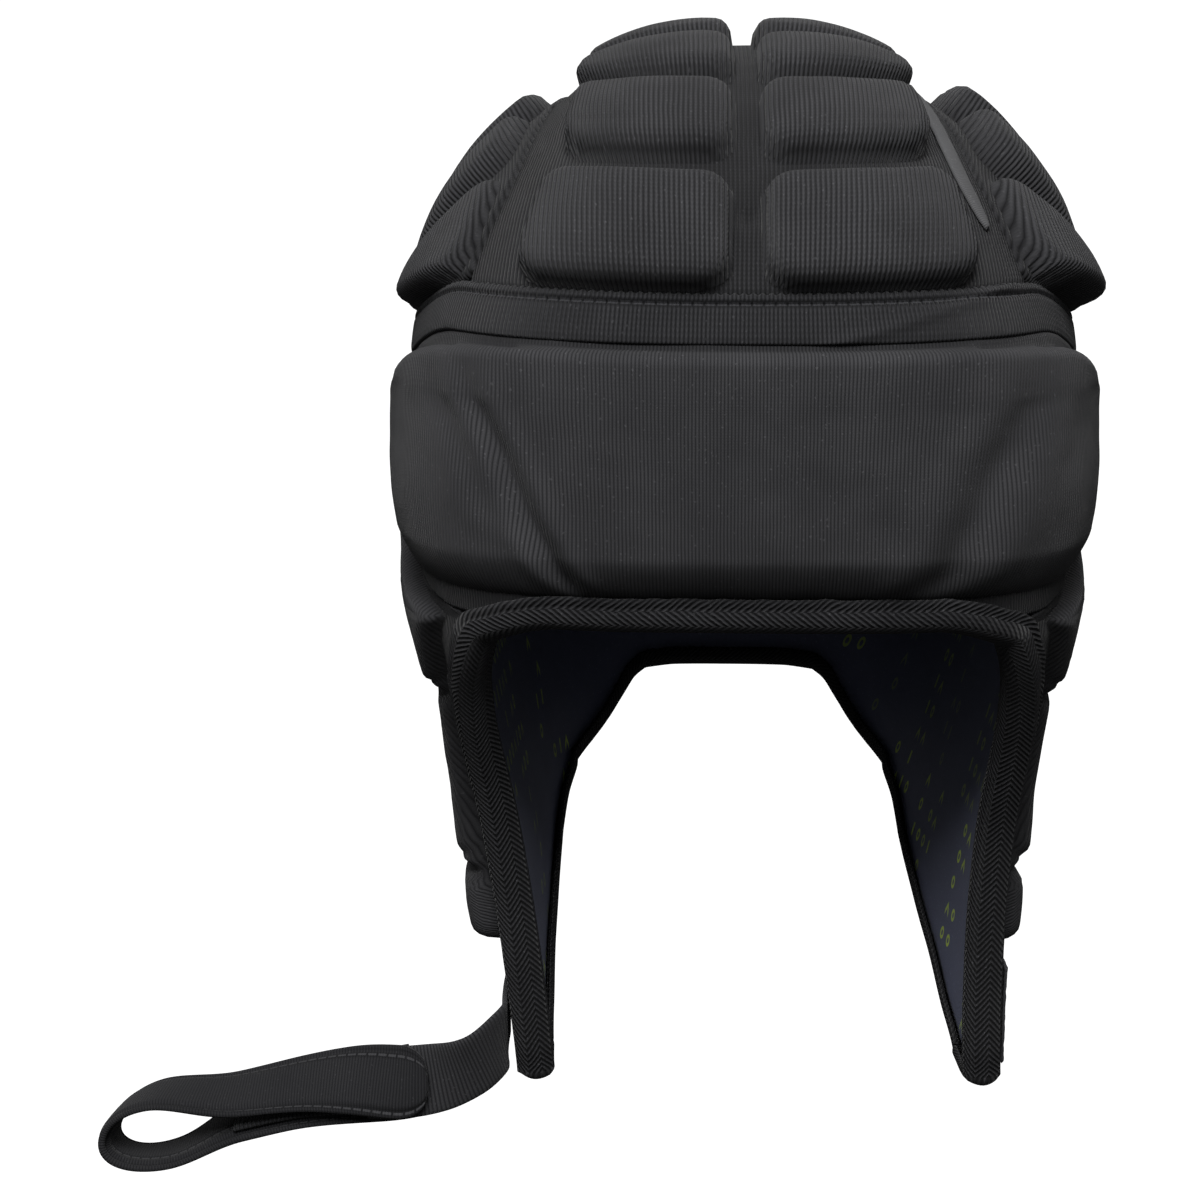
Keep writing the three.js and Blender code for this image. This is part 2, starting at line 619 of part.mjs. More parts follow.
// The free edge of one side as plan angles and heights: along the brow, down the front of the flap,
// up its rear and round to the middle of the nape
function rimPath() {
  const point = (drop, column) => {
    const height = -drop * FLAP_DROP;
    return { angle: earEdge(height, column), height };
  };
  const brow = BROW_RIM.map((angle) => ({ angle, height: -BROW_DROP }));
  const drops = earDrops();
  const front = drops.filter((drop) => drop * FLAP_DROP > BROW_DROP).map((drop) => point(drop, 'front'));
  const free = drops.filter((drop) => drop > NAPE_EDGE[0].drop).reverse();
  const rear = free.map((drop) => point(drop, 'rear'));
  const round = [NAPE_EDGE[0].angle, ...napeShares().map((share) => 180 - share * NAPE_SPAN)];
  const nape = round.map((angle) => ({ angle, height: -rimDrop(angle) * FLAP_DROP }));
  return { front: [...brow, ...front], rear: [...rear, ...nape] };
}

// The thin lining: one skin over the whole hollow, open at the bottom
function lining() {
  const tip = { angle: FLAP_TIP, height: -FLAP_DROP };
  const half = [...rimPath().front, tip, ...rimPath().rear];
  half.sort((a, b) => a.angle - b.angle);
  const other = half.slice(1, -1).reverse().map((row) => ({ angle: 360 - row.angle, height: row.height }));
  const columns = [...half, ...other];
  const dome = LINING_DOME.map((share) =>
    columns.map(({ angle }) => hollowPoint(angle, share * CROWN_RISE)),
  );
  const skirt = LINING_SKIRT.map((share) =>
    columns.map(({ angle, height }) => hollowPoint(angle, share * height)),
  );
  const rows = [...dome, ...skirt];
  return sheet(rows, () => LINING_THICKNESS, () => 0, true, new THREE.Vector3(0, 0, CROWN_RISE));
}

// Moves a point along the hollow's surface by a vector, level with where it ends up
function slide(point, vector) {
  const moved = point.clone().add(vector);
  return castOut(new THREE.Vector3(0, 0, moved.z), new THREE.Vector3(moved.x, moved.y, 0));
}

// A tape folded over the free edge: legs of the binding's width outside and inside, joined round the edge
function binding(path) {
  const edge = path.map(({ angle, height }) => hollowPoint(angle, height));
  const outside = GROUND_OUT + 2 * CLEARANCE;
  const inside = -CLEARANCE - FACET_ROOM / 2;
  const beyond = -CLEARANCE;
  const section = [
    [BINDING_WIDTH, outside],
    [BINDING_WIDTH, outside + BINDING_THICKNESS],
    [0, outside + BINDING_THICKNESS],
    ...BINDING_ROUND.map((share) => [beyond - BINDING_THICKNESS, outside * share]),
    [0, inside - BINDING_THICKNESS],
    [BINDING_WIDTH, inside - BINDING_THICKNESS],
    [BINDING_WIDTH, inside],
    [beyond, inside],
    [beyond, outside],
  ];
  const rings = edge.map((point, i) => {
    const before = edge[Math.max(i - 1, 0)];
    const after = edge[Math.min(i + 1, edge.length - 1)];
    const along = (a, b) => b.clone().sub(a).normalize();
    const tangent =
      i > 0 && i < edge.length - 1 ? along(before, point).add(along(point, after)) : along(before, after);
    const normal = hollowNormal(point);
    const inward = new THREE.Vector3().crossVectors(normal, tangent.normalize()).normalize();
    return section.map(([into, offset]) => {
      const base = slide(point, inward.clone().multiplyScalar(into));
      return base.addScaledVector(hollowNormal(base), offset);
    });
  });
  return tube(rings, section);
}

// A closed solid from rings of points that follow one flat outline, with both ends capped
function tube(rings, outline) {
  const count = outline.length;
  const positions = rings.flat().flatMap((p) => [p.x, p.y, p.z]);
  const index = [];
  for (let i = 0; i < rings.length - 1; i += 1) {
    for (let k = 0; k < count; k += 1) {
      const [a, b] = [i * count + k, i * count + ((k + 1) % count)];
      index.push(a, b, b + count, a, b + count, a + count);
    }
  }
  const cap = THREE.ShapeUtils.triangulateShape(outline.map(([x, y]) => new THREE.Vector2(x, y)), []);
  const clockwise = THREE.ShapeUtils.isClockWise(outline.map(([x, y]) => new THREE.Vector2(x, y)));
  const last = (rings.length - 1) * count;
  cap.forEach(([a, b, c]) => {
    const [p, q, r] = clockwise ? [a, b, c] : [a, c, b];
    index.push(p, q, r, last + p, last + r, last + q);
  });
  return solid(positions, index);
}

// A grey strip sewn beside the wearer's left crown seam, narrow at both ends
function seamStrip() {
  const points = STRIP_STATIONS.map((share) => {
    const angle = lerp(STRIP_START, STRIP_END, share);
    const half = (SEAM_STRIP_WIDTH / 2) * Math.max(Math.sqrt(1 - (2 * share - 1) ** 4), STRIP_TIP);
    const middle = seamReach(angle) - STRIP_INSET;
    return [-half, half].map((aside) => crownPoint(angle, middle + aside));
  });
  const lift = GROUND_OUT + CLEARANCE;
  return sheet(points, () => lift + SEAM_STRIP_THICKNESS, () => lift);
}

// The loop patch on the outside of the left flap's tip, over the binding
function loopPatch() {
  const low = FLAP_DROP - BINDING_THICKNESS - CLEARANCE;
  const heights = [0, 0.25, 0.5, 0.75, 1].map((share) => -low + share * LOOP_PATCH_LENGTH);
  const points = heights.map((height) => {
    const front = earEdge(height, 'front');
    return [0, 0.5, 1].map((share) => hollowPoint(front + share * LOOP_PATCH_SPAN, height));
  });
  return sheet(points, () => OVER_BINDING + LOOP_PATCH_THICKNESS, () => OVER_BINDING);
}

// Where the webbing lies on the outside of the right flap
function onFlap(share) {
  const height = -FLAP_DROP + STRAP_LIFT;
  const front = earEdge(height, 'front');
  const base = hollowPoint(-front - share * STRAP_ON_FLAP, height);
  return base.addScaledVector(hollowNormal(base), OVER_BINDING + STRAP_ROOM + STRAP_THICKNESS / 2);
}

// A point of the strap's middle line beyond the flap, with its width and face directions there
function strapFrame(share) {
  const read = (at, column) => readTable(STRAP_PATH, 'x', at, column);
  const start = onFlap(0);
  const place = (at) =>
    new THREE.Vector3(-at, read(at, 'y'), read(at, 'z')).multiplyScalar(STRAP_REACH).add(start);
  const step = 0.01;
  const along = place(share + step).sub(place(share - step)).normalize();
  const tilt = read(share, 'tilt') * DEG;
  const wide = new THREE.Vector3(0, Math.sin(tilt), Math.cos(tilt));
  wide.addScaledVector(along, -wide.dot(along)).normalize();
  return { centre: place(share), wide, face: new THREE.Vector3().crossVectors(along, wide) };
}

// A tape of one width and thickness through stations with a centre and a width direction
function tape(stations, width, thickness) {
  const outline = [[-0.5, -0.5], [0.5, -0.5], [0.5, 0.5], [-0.5, 0.5]];
  const rings = stations.map((station, i) => {
    const before = stations[Math.max(i - 1, 0)].centre;
    const after = stations[Math.min(i + 1, stations.length - 1)].centre;
    const along = after.clone().sub(before).normalize();
    const wide = station.wide.clone().addScaledVector(along, -station.wide.dot(along)).normalize();
    const face = new THREE.Vector3().crossVectors(along, wide);
    return outline.map(([u, v]) =>
      station.centre
        .clone()
        .addScaledVector(wide, u * width * (station.narrow ?? 1))
        .addScaledVector(face, v * thickness),
    );
  });
  return tube(rings, outline);
}

function chinStrap() {
  const upright = new THREE.Vector3(0, 0, 1);
  const sewn = SEWN_STATIONS.map((share) => ({ centre: onFlap(share), wide: upright }));
  return tape([...sewn, ...WEBBING_STATIONS.map(strapFrame)], STRAP_WIDTH, STRAP_THICKNESS);
}

// One layer of the folded tab: side is +1 for the layer below and -1 for the one folded back over it
const tabLayer = (share, side, inset = 0) => {
  const frame = strapFrame(share);
  const closing = Math.sqrt(1 - (Math.max(share - TAB_FOLD, 0) / (1 - TAB_FOLD)) ** 2);
  const spread = readTable(STRAP_PATH, 'x', share, 'spread') * STRAP_REACH * closing - inset;
  return { centre: frame.centre.addScaledVector(frame.face, side * spread), wide: frame.wide };
};

function strapTab() {
  const lower = TAB_STATIONS.map((share) => tabLayer(share, 1));
  const upper = [...TAB_STATIONS, TAB_END].sort((a, b) => b - a).map((share) => tabLayer(share, -1));
  upper[upper.length - 1].narrow = TAB_END_NARROW;
  return tape([...lower, tabLayer(1, 1), ...upper], TAB_WIDTH, TAB_THICKNESS);
}

function hookPatch() {
  const inset = (TAB_THICKNESS + HOOK_THICKNESS) / 2 + CLEARANCE;
  return tape(HOOK_STATIONS.map((share) => tabLayer(share, 1, inset)), HOOK_WIDTH, HOOK_THICKNESS);
}

// Top level group: everything is drawn from the widest level and lowered so that the crown is at the origin
const helmet = new THREE.Group();
helmet.position.z = -CROWN_RISE;
const BLACK = 0x2b2b2d;
const flip = (path) => path.map(({ angle, height }) => ({ angle: 360 - angle, height }));
const { front: frontRim, rear: rearRim } = rimPath();
const facePath = [...flip(frontRim).reverse(), ...frontRim.slice(1)];
const napePath = [...rearRim, ...flip(rearRim).reverse().slice(1)];
helmet.add(cloth('crown_panel', crownPanel(), BLACK));
helmet.add(cloth('side_panel_right', sidePanel(-1), BLACK));
helmet.add(cloth('side_panel_left', sidePanel(1), BLACK));
helmet.add(cloth('brow_band', browBand(), 0x262628));
helmet.add(cloth('brow_pad', browPad(), BLACK));
helmet.add(cloth('ear_panel_right', earPanel(-1), BLACK));
helmet.add(cloth('ear_panel_left', earPanel(1), BLACK));
helmet.add(cloth('nape_panel', napePanel(), BLACK));
helmet.add(cloth('lining', lining(), 0x12141c));
helmet.add(cloth('face_binding', binding(facePath), 0x242426));
helmet.add(cloth('nape_binding', binding(napePath), 0x242426));
helmet.add(cloth('seam_strip', seamStrip(), 0x4a4a4c));
helmet.add(cloth('loop_patch', loopPatch(), 0x3a3a3c));
helmet.add(cloth('chin_strap', chinStrap(), 0x232325));
helmet.add(cloth('strap_tab', strapTab(), 0x252527));
helmet.add(cloth('hook_patch', hookPatch(), 0x303032));

export default helmet;
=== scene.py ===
# %% [markdown]
# # A soft shell helmet
# Foam pads under knitted cloth, an elastic band, tape bindings, a thin lining and a chin strap. The frame
# gives every piece its place and its main shape as a faceted solid. Here each piece is made again as cloth:
# a smooth skin with rounded pads and creases, a weave that follows the surface, and its finish.

# %% Load the frame
import math

import bmesh
import bpy
import numpy as np
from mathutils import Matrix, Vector, noise


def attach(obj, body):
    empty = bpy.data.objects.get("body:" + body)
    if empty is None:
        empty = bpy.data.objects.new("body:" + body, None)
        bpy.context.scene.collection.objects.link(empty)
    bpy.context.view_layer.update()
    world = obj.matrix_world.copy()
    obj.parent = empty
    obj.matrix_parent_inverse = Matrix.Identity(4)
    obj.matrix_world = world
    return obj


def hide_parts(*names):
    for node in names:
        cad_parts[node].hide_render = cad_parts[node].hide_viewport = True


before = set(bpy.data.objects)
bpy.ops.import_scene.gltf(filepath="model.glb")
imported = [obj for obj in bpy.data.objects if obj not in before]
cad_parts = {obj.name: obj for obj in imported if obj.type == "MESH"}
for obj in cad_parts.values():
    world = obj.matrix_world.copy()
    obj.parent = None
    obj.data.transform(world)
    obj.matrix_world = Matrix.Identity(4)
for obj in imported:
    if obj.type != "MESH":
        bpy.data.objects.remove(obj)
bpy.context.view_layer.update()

scene = bpy.context.scene
MM = 0.001

# %% [markdown]
# ## Camera
# The photograph looks slightly down on the front of the helmet from about 60 cm. The distance and the
# lens come from how much smaller the nape looks than the brow, and the camera is made first because all
# detail is judged through it.

# %% Camera
CAMERA_PLACE = (-11.6 * MM, -612.4 * MM, 0.9 * MM)
CAMERA_DOWN = math.radians(12.28)
CAMERA_TURN = 0.037
CAMERA_LENS = 74.1

lens = bpy.data.cameras.new("camera")
lens.lens = CAMERA_LENS
lens.sensor_width = 36
camera = bpy.data.objects.new("camera", lens)
camera.location = CAMERA_PLACE
camera.rotation_euler = (math.pi / 2 - CAMERA_DOWN, 0, CAMERA_TURN)
scene.collection.objects.link(camera)
scene.camera = camera
print("camera at", [round(c, 3) for c in camera.location])

# %% [markdown]
# ## Floor and light
# A plain pale floor well below the helmet in a white room. Black cloth shows its form only by light that
# comes from one side, so the room and the floor look white to the camera but light the cloth weakly, and
# the broad lamps overhead and in front do the rest. Undersides and grooves then stay dark.

# %% Floor, room and lamps
FLOOR_DROP = 0.42
FLOOR_SIZE = 40
ROOM_SEEN = 1.1
ROOM_LIGHT = 0.3
FLOOR_LIGHT = 0.03
# name, place in metres, size in metres, power in watts
LAMPS = [
    ("key", (-0.12, -0.98, 0.92), 0.7, 43),
    ("overhead", (0.0, -0.25, 1.1), 0.5, 2),
    ("left_side", (-1.1, -0.4, 0.35), 0.6, 0.3),
    ("right_side", (1.1, -0.4, 0.35), 0.6, 0.15),
    ("behind", (0.2, 1.1, 0.6), 1.0, 5),
]

floor_shape = bmesh.new()
bmesh.ops.create_grid(floor_shape, x_segments=1, y_segments=1, size=FLOOR_SIZE)
bmesh.ops.translate(floor_shape, verts=floor_shape.verts, vec=(0, 0, -FLOOR_DROP))
floor_mesh = bpy.data.meshes.new("floor")
floor_shape.to_mesh(floor_mesh)
floor_shape.free()
floor = bpy.data.objects.new("floor", floor_mesh)
scene.collection.objects.link(floor)

floor_paint = bpy.data.materials.new("floor_paint")
floor_paint.use_nodes = True
floor_shader = floor_paint.node_tree.nodes["Principled BSDF"]
floor_shader.inputs["Base Color"].default_value = (FLOOR_LIGHT, FLOOR_LIGHT, FLOOR_LIGHT, 1)
floor_shader.inputs["Roughness"].default_value = 0.9
floor_shader.inputs["Emission Strength"].default_value = ROOM_SEEN
seen = floor_paint.node_tree.nodes.new("ShaderNodeLightPath").outputs["Is Camera Ray"]
floor_paint.node_tree.links.new(seen, floor_shader.inputs["Emission Color"])
floor_mesh.materials.append(floor_paint)

room = bpy.data.worlds.new("room")
room.use_nodes = True
room_sky = room.node_tree.nodes["Background"]
room_sky.inputs["Color"].default_value = (1, 1, 1, 1)
strength = room.node_tree.nodes.new("ShaderNodeMapRange")
strength.inputs["To Min"].default_value = ROOM_LIGHT
strength.inputs["To Max"].default_value = ROOM_SEEN
seen = room.node_tree.nodes.new("ShaderNodeLightPath").outputs["Is Camera Ray"]
room.node_tree.links.new(seen, strength.inputs["Value"])
room.node_tree.links.new(strength.outputs["Result"], room_sky.inputs["Strength"])
scene.world = room

for name, place, size, power in LAMPS:
    lamp = bpy.data.lights.new(name, "AREA")
    lamp.size = size
    lamp.energy = power
    holder = bpy.data.objects.new(name, lamp)
    holder.location = place
    aim = Vector((0, 0, -0.1)) - Vector(place)
    holder.rotation_euler = aim.to_track_quat("-Z", "Y").to_euler()
    scene.collection.objects.link(holder)
scene.view_settings.view_transform = "Standard"
print(len(LAMPS), "lamps")

# %% [markdown]
# ## The head form
# A helmet like this is cut and sewn round a head form, and all its layers lie at small distances from it.
# The form is worked out here with the same few sizes and tables as the frame's solids, in millimetres over
# its widest level. Every cloth below is then a grid of vertices laid on this form, so that neighbours
# meet without gaps and each rib can follow the cloth by length.

# %% Sizes of the form
HALF_WIDTH = 72.0
HALF_LENGTH = 101.0
CROWN_RISE = 67.0
DOME_SQUARE = 2.5
DOME_TURN = 0.7
SKIRT_SQUARE = 3.6
FLAP_DROP = 172.0
FLAP_LEAN = 6.0
LEAN_FROM = 0.3
LEAN_SPAN = 0.8
BROW_DROP = 48.0
NAPE_DROP = 102.0
BROW = BROW_DROP / FLAP_DROP

# drop, width, front, back, square, toe-in
SKIRT = np.array(
    [
        (0.0, 1.0, 1.0, 1.0, SKIRT_SQUARE, 0.0),
        (0.14, 0.995, 1.005, 0.995, 4.0, 0.02),
        (0.29, 0.955, 1.0, 0.98, 4.0, 0.03),
        (0.43, 0.875, 0.99, 0.94, 3.6, 0.06),
        (0.62, 0.775, 0.975, 0.87, 3.2, 0.1),
        (0.8, 0.705, 0.96, 0.84, 3.2, 0.17),
        (1.0, 0.66, 0.94, 0.82, 3.2, 0.25),
    ]
)


def read_table(table, at, column):
    """Reads a column of a table by its first one, on a smooth curve that doesn't overshoot."""
    keys, values = table[:, 0], table[:, column]
    at = np.clip(at, keys[0], keys[-1])
    row = np.clip(np.searchsorted(keys, at, side="right") - 1, 0, len(keys) - 2)
    span, rise = np.diff(keys), np.diff(values)
    slope = rise / span
    product = slope[:-1] * slope[1:]
    total = slope[:-1] + slope[1:]
    bend = np.zeros(len(keys))
    bend[1:-1] = np.where(product > 0, 2 * product / np.where(total == 0, 1, total), 0)
    t = (at - keys[row]) / span[row]
    smooth = rise[row] * t * t * (3 - 2 * t)
    return values[row] + smooth + span[row] * t * (1 - t) * ((1 - t) * bend[row] - t * bend[row + 1])


def section(height):
    """The plan of the form at each height: half width, front, back, squareness and toe-in."""
    drop = np.clip(-height / FLAP_DROP, 0, 1)
    width, front, back, square, toe_in = (read_table(SKIRT, drop, k) for k in range(1, 6))
    dome = np.clip(height / (CROWN_RISE * DOME_TURN), 0, 1)
    square = np.where(height > 0, SKIRT_SQUARE + (DOME_SQUARE - SKIRT_SQUARE) * dome, square)
    return width * HALF_WIDTH, front * HALF_LENGTH, back * HALF_LENGTH, square, toe_in


def flap_lean(y, height):
    """How far the soft flaps lean to +X."""
    low = np.clip(-height / FLAP_DROP, 0, 1)
    forward = np.clip((LEAN_FROM - y / HALF_LENGTH) / LEAN_SPAN, 0, 1)
    return FLAP_LEAN * low * low * forward


def form_point(angle, height):
    """Points of the form by plan angle in degrees (0 in front, 90 on the wearer's left) and height."""
    angle, height = np.broadcast_arrays(np.asarray(angle, float), np.asarray(height, float))
    width, front, back, square, toe_in = section(height)
    side, fore = np.sin(np.radians(angle)), np.cos(np.radians(angle))
    radius = (np.abs(side) ** square + np.abs(fore) ** square) ** (-1 / square)
    dome = np.maximum(height, 0) / CROWN_RISE
    scale = np.sqrt(np.maximum(1 - dome**2, 0)) * radius
    length = np.where(fore > 0, front, back)
    y = -fore * scale * length
    x = side * scale * width * (1 - toe_in * y / length)
    return np.stack([x + flap_lean(y, height), y, height], axis=-1)


def form_field(p):
    """Negative inside the form and zero on it."""
    x, y, z = p[..., 0], p[..., 1], p[..., 2]
    width, front, back, square, toe_in = section(z)
    length = np.where(y < 0, front, back)
    x = (x - flap_lean(y, z)) / (width * (1 - toe_in * y / length))
    plan = (np.abs(x) ** square + np.abs(y / length) ** square) ** (1 / square)
    return np.sqrt(plan**2 + (np.maximum(z, 0) / CROWN_RISE) ** 2) - 1


def form_normal(p):
    """The outward direction of the form at points."""
    steps = 0.5 * np.eye(3)
    slope = np.stack([form_field(p + step) - form_field(p - step) for step in steps], axis=-1)
    return slope / np.linalg.norm(slope, axis=-1, keepdims=True)


def cast_out(start, aim):
    """Where rays from inside points meet the form."""
    near = np.zeros(np.broadcast_shapes(start.shape, aim.shape)[:-1])
    far = near + 4
    for _ in range(34):
        middle = (near + far) / 2
        inside = form_field(start + aim * middle[..., None]) < 0
        near, far = np.where(inside, middle, near), np.where(inside, far, middle)
    return start + aim * near[..., None]


print("brow", np.round(form_point(0, 0), 1), "flap tip", np.round(form_point(67, -FLAP_DROP), 1))

# %% [markdown]
# ## Layers and grids
# From the inside out lie the lining, a little room, and the panels: flat pressed ground with pads that
# rise from it. A closed cloth is one grid that runs over its outer side and back under its inner side,
# and its edges are sewn together by merging them. A padded panel made so is a flat bag with a crisp seam
# all round, which is just what the real one is before the foam goes in.

# %% Layers
LINING_THICKNESS = 1.2
CLEARANCE = 0.3
GROUND_IN = LINING_THICKNESS + CLEARANCE + 1.0
GROUND_OUT = GROUND_IN + 2.5
SEAM_GAP = 0.08
HEM_TUCK = 0.8  # how far a panel's edge goes in under the band
SEAM_LEVEL = GROUND_IN + 0.7
SEAM_ROLL = 1.8


def stations(start, end, edges, fine=0.4, coarse=1.5, reach=4.0):
    """Positions from start to end, closer together near the given edges."""
    at = np.linspace(start, end, 6000)
    away = np.min([np.abs(at - edge) for edge in edges], axis=0)
    pace = fine + (coarse - fine) * np.clip(away / reach, 0, 1)
    count = np.concatenate([[0], np.cumsum(np.diff(at) / pace[1:])])
    return np.interp(np.linspace(0, count[-1], math.ceil(count[-1]) + 1), count, at)


def lengths(points, axis):
    """Length over the surface along one direction of a grid, from its first row or column."""
    steps = np.linalg.norm(np.diff(points, axis=axis), axis=-1)
    first = np.zeros_like(np.take(steps, [0], axis=axis))
    return np.concatenate([first, np.cumsum(steps, axis=axis)], axis=axis)


def length_at(length, shares, share, axis):
    """The length at one share of a grid, for every row or column."""
    place = np.clip(np.searchsorted(shares, share) - 1, 0, len(shares) - 2)
    part = (share - shares[place]) / (shares[place + 1] - shares[place])
    low, high = (np.take(length, [place + k], axis=axis) for k in (0, 1))
    return low + (high - low) * part


def smooth_noise(points, size, seed=0.0):
    """Soft random values from -1 to 1, so many millimetres apart."""
    flat = points.reshape(-1, 3) / size + seed
    return np.array([noise.noise(Vector(p)) for p in flat]).reshape(points.shape[:-1])


def sewn_grid(name, points, weave, pressed_shade=None):
    """A smooth object from one grid laid on rows of points, its touching edges merged. Its shade mask is 1
    where foam and cloth are flattened, and 0 on a pad: knit cloths darken their colour by it as painted
    shade."""
    rows, columns = points.shape[:2]
    shape = bmesh.new()
    bmesh.ops.create_grid(shape, x_segments=columns - 1, y_segments=rows - 1, size=1)
    mesh = bpy.data.meshes.new(name)
    shape.to_mesh(mesh)
    shape.free()
    flat = np.empty(rows * columns * 3)
    mesh.vertices.foreach_get("co", flat)
    flat = flat.reshape(-1, 3)
    i = np.rint((flat[:, 1] + 1) / 2 * (rows - 1)).astype(int)
    j = np.rint((flat[:, 0] + 1) / 2 * (columns - 1)).astype(int)
    placed = (points[i, j] - (0, 0, CROWN_RISE)) * MM
    mesh.vertices.foreach_set("co", placed.ravel())
    corner = np.empty(len(mesh.loops), np.int32)
    mesh.loops.foreach_get("vertex_index", corner)
    layer = mesh.uv_layers.new(name="Weave")
    layer.data.foreach_set("uv", (weave[i, j] * MM)[corner].ravel())
    # Shade mask of the flattened ground, along which the knit cloths paint shade.
    if pressed_shade is not None:
        mark = mesh.attributes.new("Pressed_Shade", "FLOAT", "POINT")
        mark.data.foreach_set("value", pressed_shade[i, j].astype(np.float32))
    shape = bmesh.new()
    shape.from_mesh(mesh)
    bmesh.ops.remove_doubles(shape, verts=shape.verts, dist=0.002 * MM)
    bmesh.ops.recalc_face_normals(shape, faces=shape.faces)
    shape.to_mesh(mesh)
    shape.free()
    mesh.shade_smooth()
    piece = bpy.data.objects.new(name, mesh)
    scene.collection.objects.link(piece)
    print(name, len(mesh.polygons), "faces")
    return piece


def two_sided(name, base, outer, inner, weave, merge_ends=True, pressed_shade=None):
    """A closed cloth over a grid of the form: its two sides lie at outer and inner from it."""
    normal = form_normal(base)
    if merge_ends:
        for side in (outer, inner):
            side[0], side[-1] = SEAM_LEVEL, SEAM_LEVEL
            side[:, 0], side[:, -1] = SEAM_LEVEL, SEAM_LEVEL
    top = base + normal * outer[..., None]
    under = base + normal * inner[..., None]
    if pressed_shade is not None:
        pressed_shade = np.concatenate([pressed_shade, 0 * pressed_shade[1:]])
    points = np.concatenate([top, under[::-1][1:]])
    return sewn_grid(name, points, np.concatenate([weave, weave[::-1][1:]]), pressed_shade)


# %% Pads
PAD_CORNER = 6.5
PRESSED_UNDER = 4.0
PAD_WALL = 3.4
PAD_SHOULDER = 2.3
PAD_CROWN = 0.16


def edge_distance(length, shares, span, axis):
    """How far inside two edges each grid point lies, and half the distance between them."""
    low, high = (length_at(length, shares, edge, axis) for edge in span)
    return np.minimum(length - low, high - length), (high - low) / 2


def wall_height(inside, wall, shoulder=PAD_SHOULDER):
    """Height of a wall of foam that rises from an edge, as a share: the shoulder is 1 for a plain slope."""
    t = np.clip(inside / wall, 0, 1)
    return (1 - (1 - t) ** shoulder) ** (1 / shoulder)


def pad_height(along, across, corner=PAD_CORNER, wall=PAD_WALL):
    """Height of a foam pad as a share of its rise: steep walls, a round shoulder, a slightly full top."""
    (dx, half_x), (dy, half_y) = along, across
    in_corner = (dx < corner) & (dy < corner)
    round_corner = corner - np.hypot(corner - dx, corner - dy)
    inside = np.where(in_corner, round_corner, np.minimum(dx, dy))
    full_x = 1 - (1 - np.clip(dx / half_x, 0, 1)) ** 2
    full_y = 1 - (1 - np.clip(dy / half_y, 0, 1)) ** 2
    height = (1 - PAD_CROWN) * wall_height(inside, wall) + PAD_CROWN * full_x * full_y
    return np.where(inside > 0, height, 0)


def rolled_edge(down, across):
    """Shares from 0 on a panel's outline to 1 a seam's roll inside it."""
    from_ends = np.minimum(down, down.max(axis=0, keepdims=True) - down)
    from_sides = np.minimum(across, across.max(axis=1, keepdims=True) - across)
    return wall_height(np.minimum(from_ends, from_sides), SEAM_ROLL, 2)


def padded_panel(name, base, relief, dents=0.3, seed=1.0, weave=None):
    """A foam panel in cloth: pads rise over its ground and its outline is drawn down to the seam."""
    down, across = lengths(base, 0), lengths(base, 1)
    roll = rolled_edge(down, across)
    soft = dents * smooth_noise(base, 15, seed) + 0.4 * dents * smooth_noise(base, 6, seed)
    outer = SEAM_LEVEL + (GROUND_OUT - SEAM_LEVEL + relief) * roll + soft * roll
    inner = SEAM_LEVEL + (GROUND_IN - SEAM_LEVEL) * roll
    if weave is None:
        middle = across[:, across.shape[1] // 2][:, None]
        weave = np.stack([across - middle, -down], axis=-1)
    # 1 on the low ground between the pads, where the knit cloths paint shade.
    pressed_shade = 1 - np.clip(relief / PRESSED_UNDER, 0, 1)
    return two_sided(name, base, outer, inner, weave, pressed_shade=pressed_shade)


# %% [markdown]
# ## Shared shader effects
# Three effects are used by several cloths, so each is a node group with named inputs: a rib knit, a
# herringbone tape and a stitched line. They put out heights and masks only, and each finish mixes
# them with its own values.

# %% Small helpers for shader trees
def new_group(name, inputs, outputs):
    """An empty shader group: its tree, its input sockets and its output sockets."""
    tree = bpy.data.node_groups.new(name, "ShaderNodeTree")
    for title, kind, value in inputs:
        socket = tree.interface.new_socket(title, in_out="INPUT", socket_type=kind)
        if value is not None:
            socket.default_value = value
    for title in outputs:
        tree.interface.new_socket(title, in_out="OUTPUT", socket_type="NodeSocketFloat")
    entry = tree.nodes.new("NodeGroupInput")
    leave = tree.nodes.new("NodeGroupOutput")
    return tree, entry.outputs, leave.inputs


def feed(tree, socket, value):
    """Links a socket to an output, or sets it to a number."""
    if isinstance(value, bpy.types.NodeSocket):
        tree.links.new(value, socket)
    else:
        socket.default_value = value


def calc(tree, operation, *values):
    """A Math node on numbers or sockets; gives its result."""
    node = tree.nodes.new("ShaderNodeMath")
    node.operation = operation
    for socket, value in zip(node.inputs, values):
        feed(tree, socket, value)
    return node.outputs[0]


def ramp(tree, value, low, high, start=0.0, end=1.0):
    """A smooth step of a value from low to high."""
    node = tree.nodes.new("ShaderNodeMapRange")
    node.interpolation_type = "SMOOTHSTEP"
    for title, number in (
        ("Value", value),
        ("From Min", low),
        ("From Max", high),
        ("To Min", start),
        ("To Max", end),
    ):
        feed(tree, node.inputs[title], number)
    return node.outputs["Result"]


def cloud(tree, vector, scale, detail=2.0):
    """Noise on a coordinate; gives its value from 0 to 1."""
    node = tree.nodes.new("ShaderNodeTexNoise")
    node.inputs["Scale"].default_value = scale
    node.inputs["Detail"].default_value = detail
    tree.links.new(vector, node.inputs["Vector"])
    return node.outputs["Fac"]


def axes(tree, vector):
    """The parts of a vector."""
    node = tree.nodes.new("ShaderNodeSeparateXYZ")
    tree.links.new(vector, node.inputs[0])
    return node.outputs


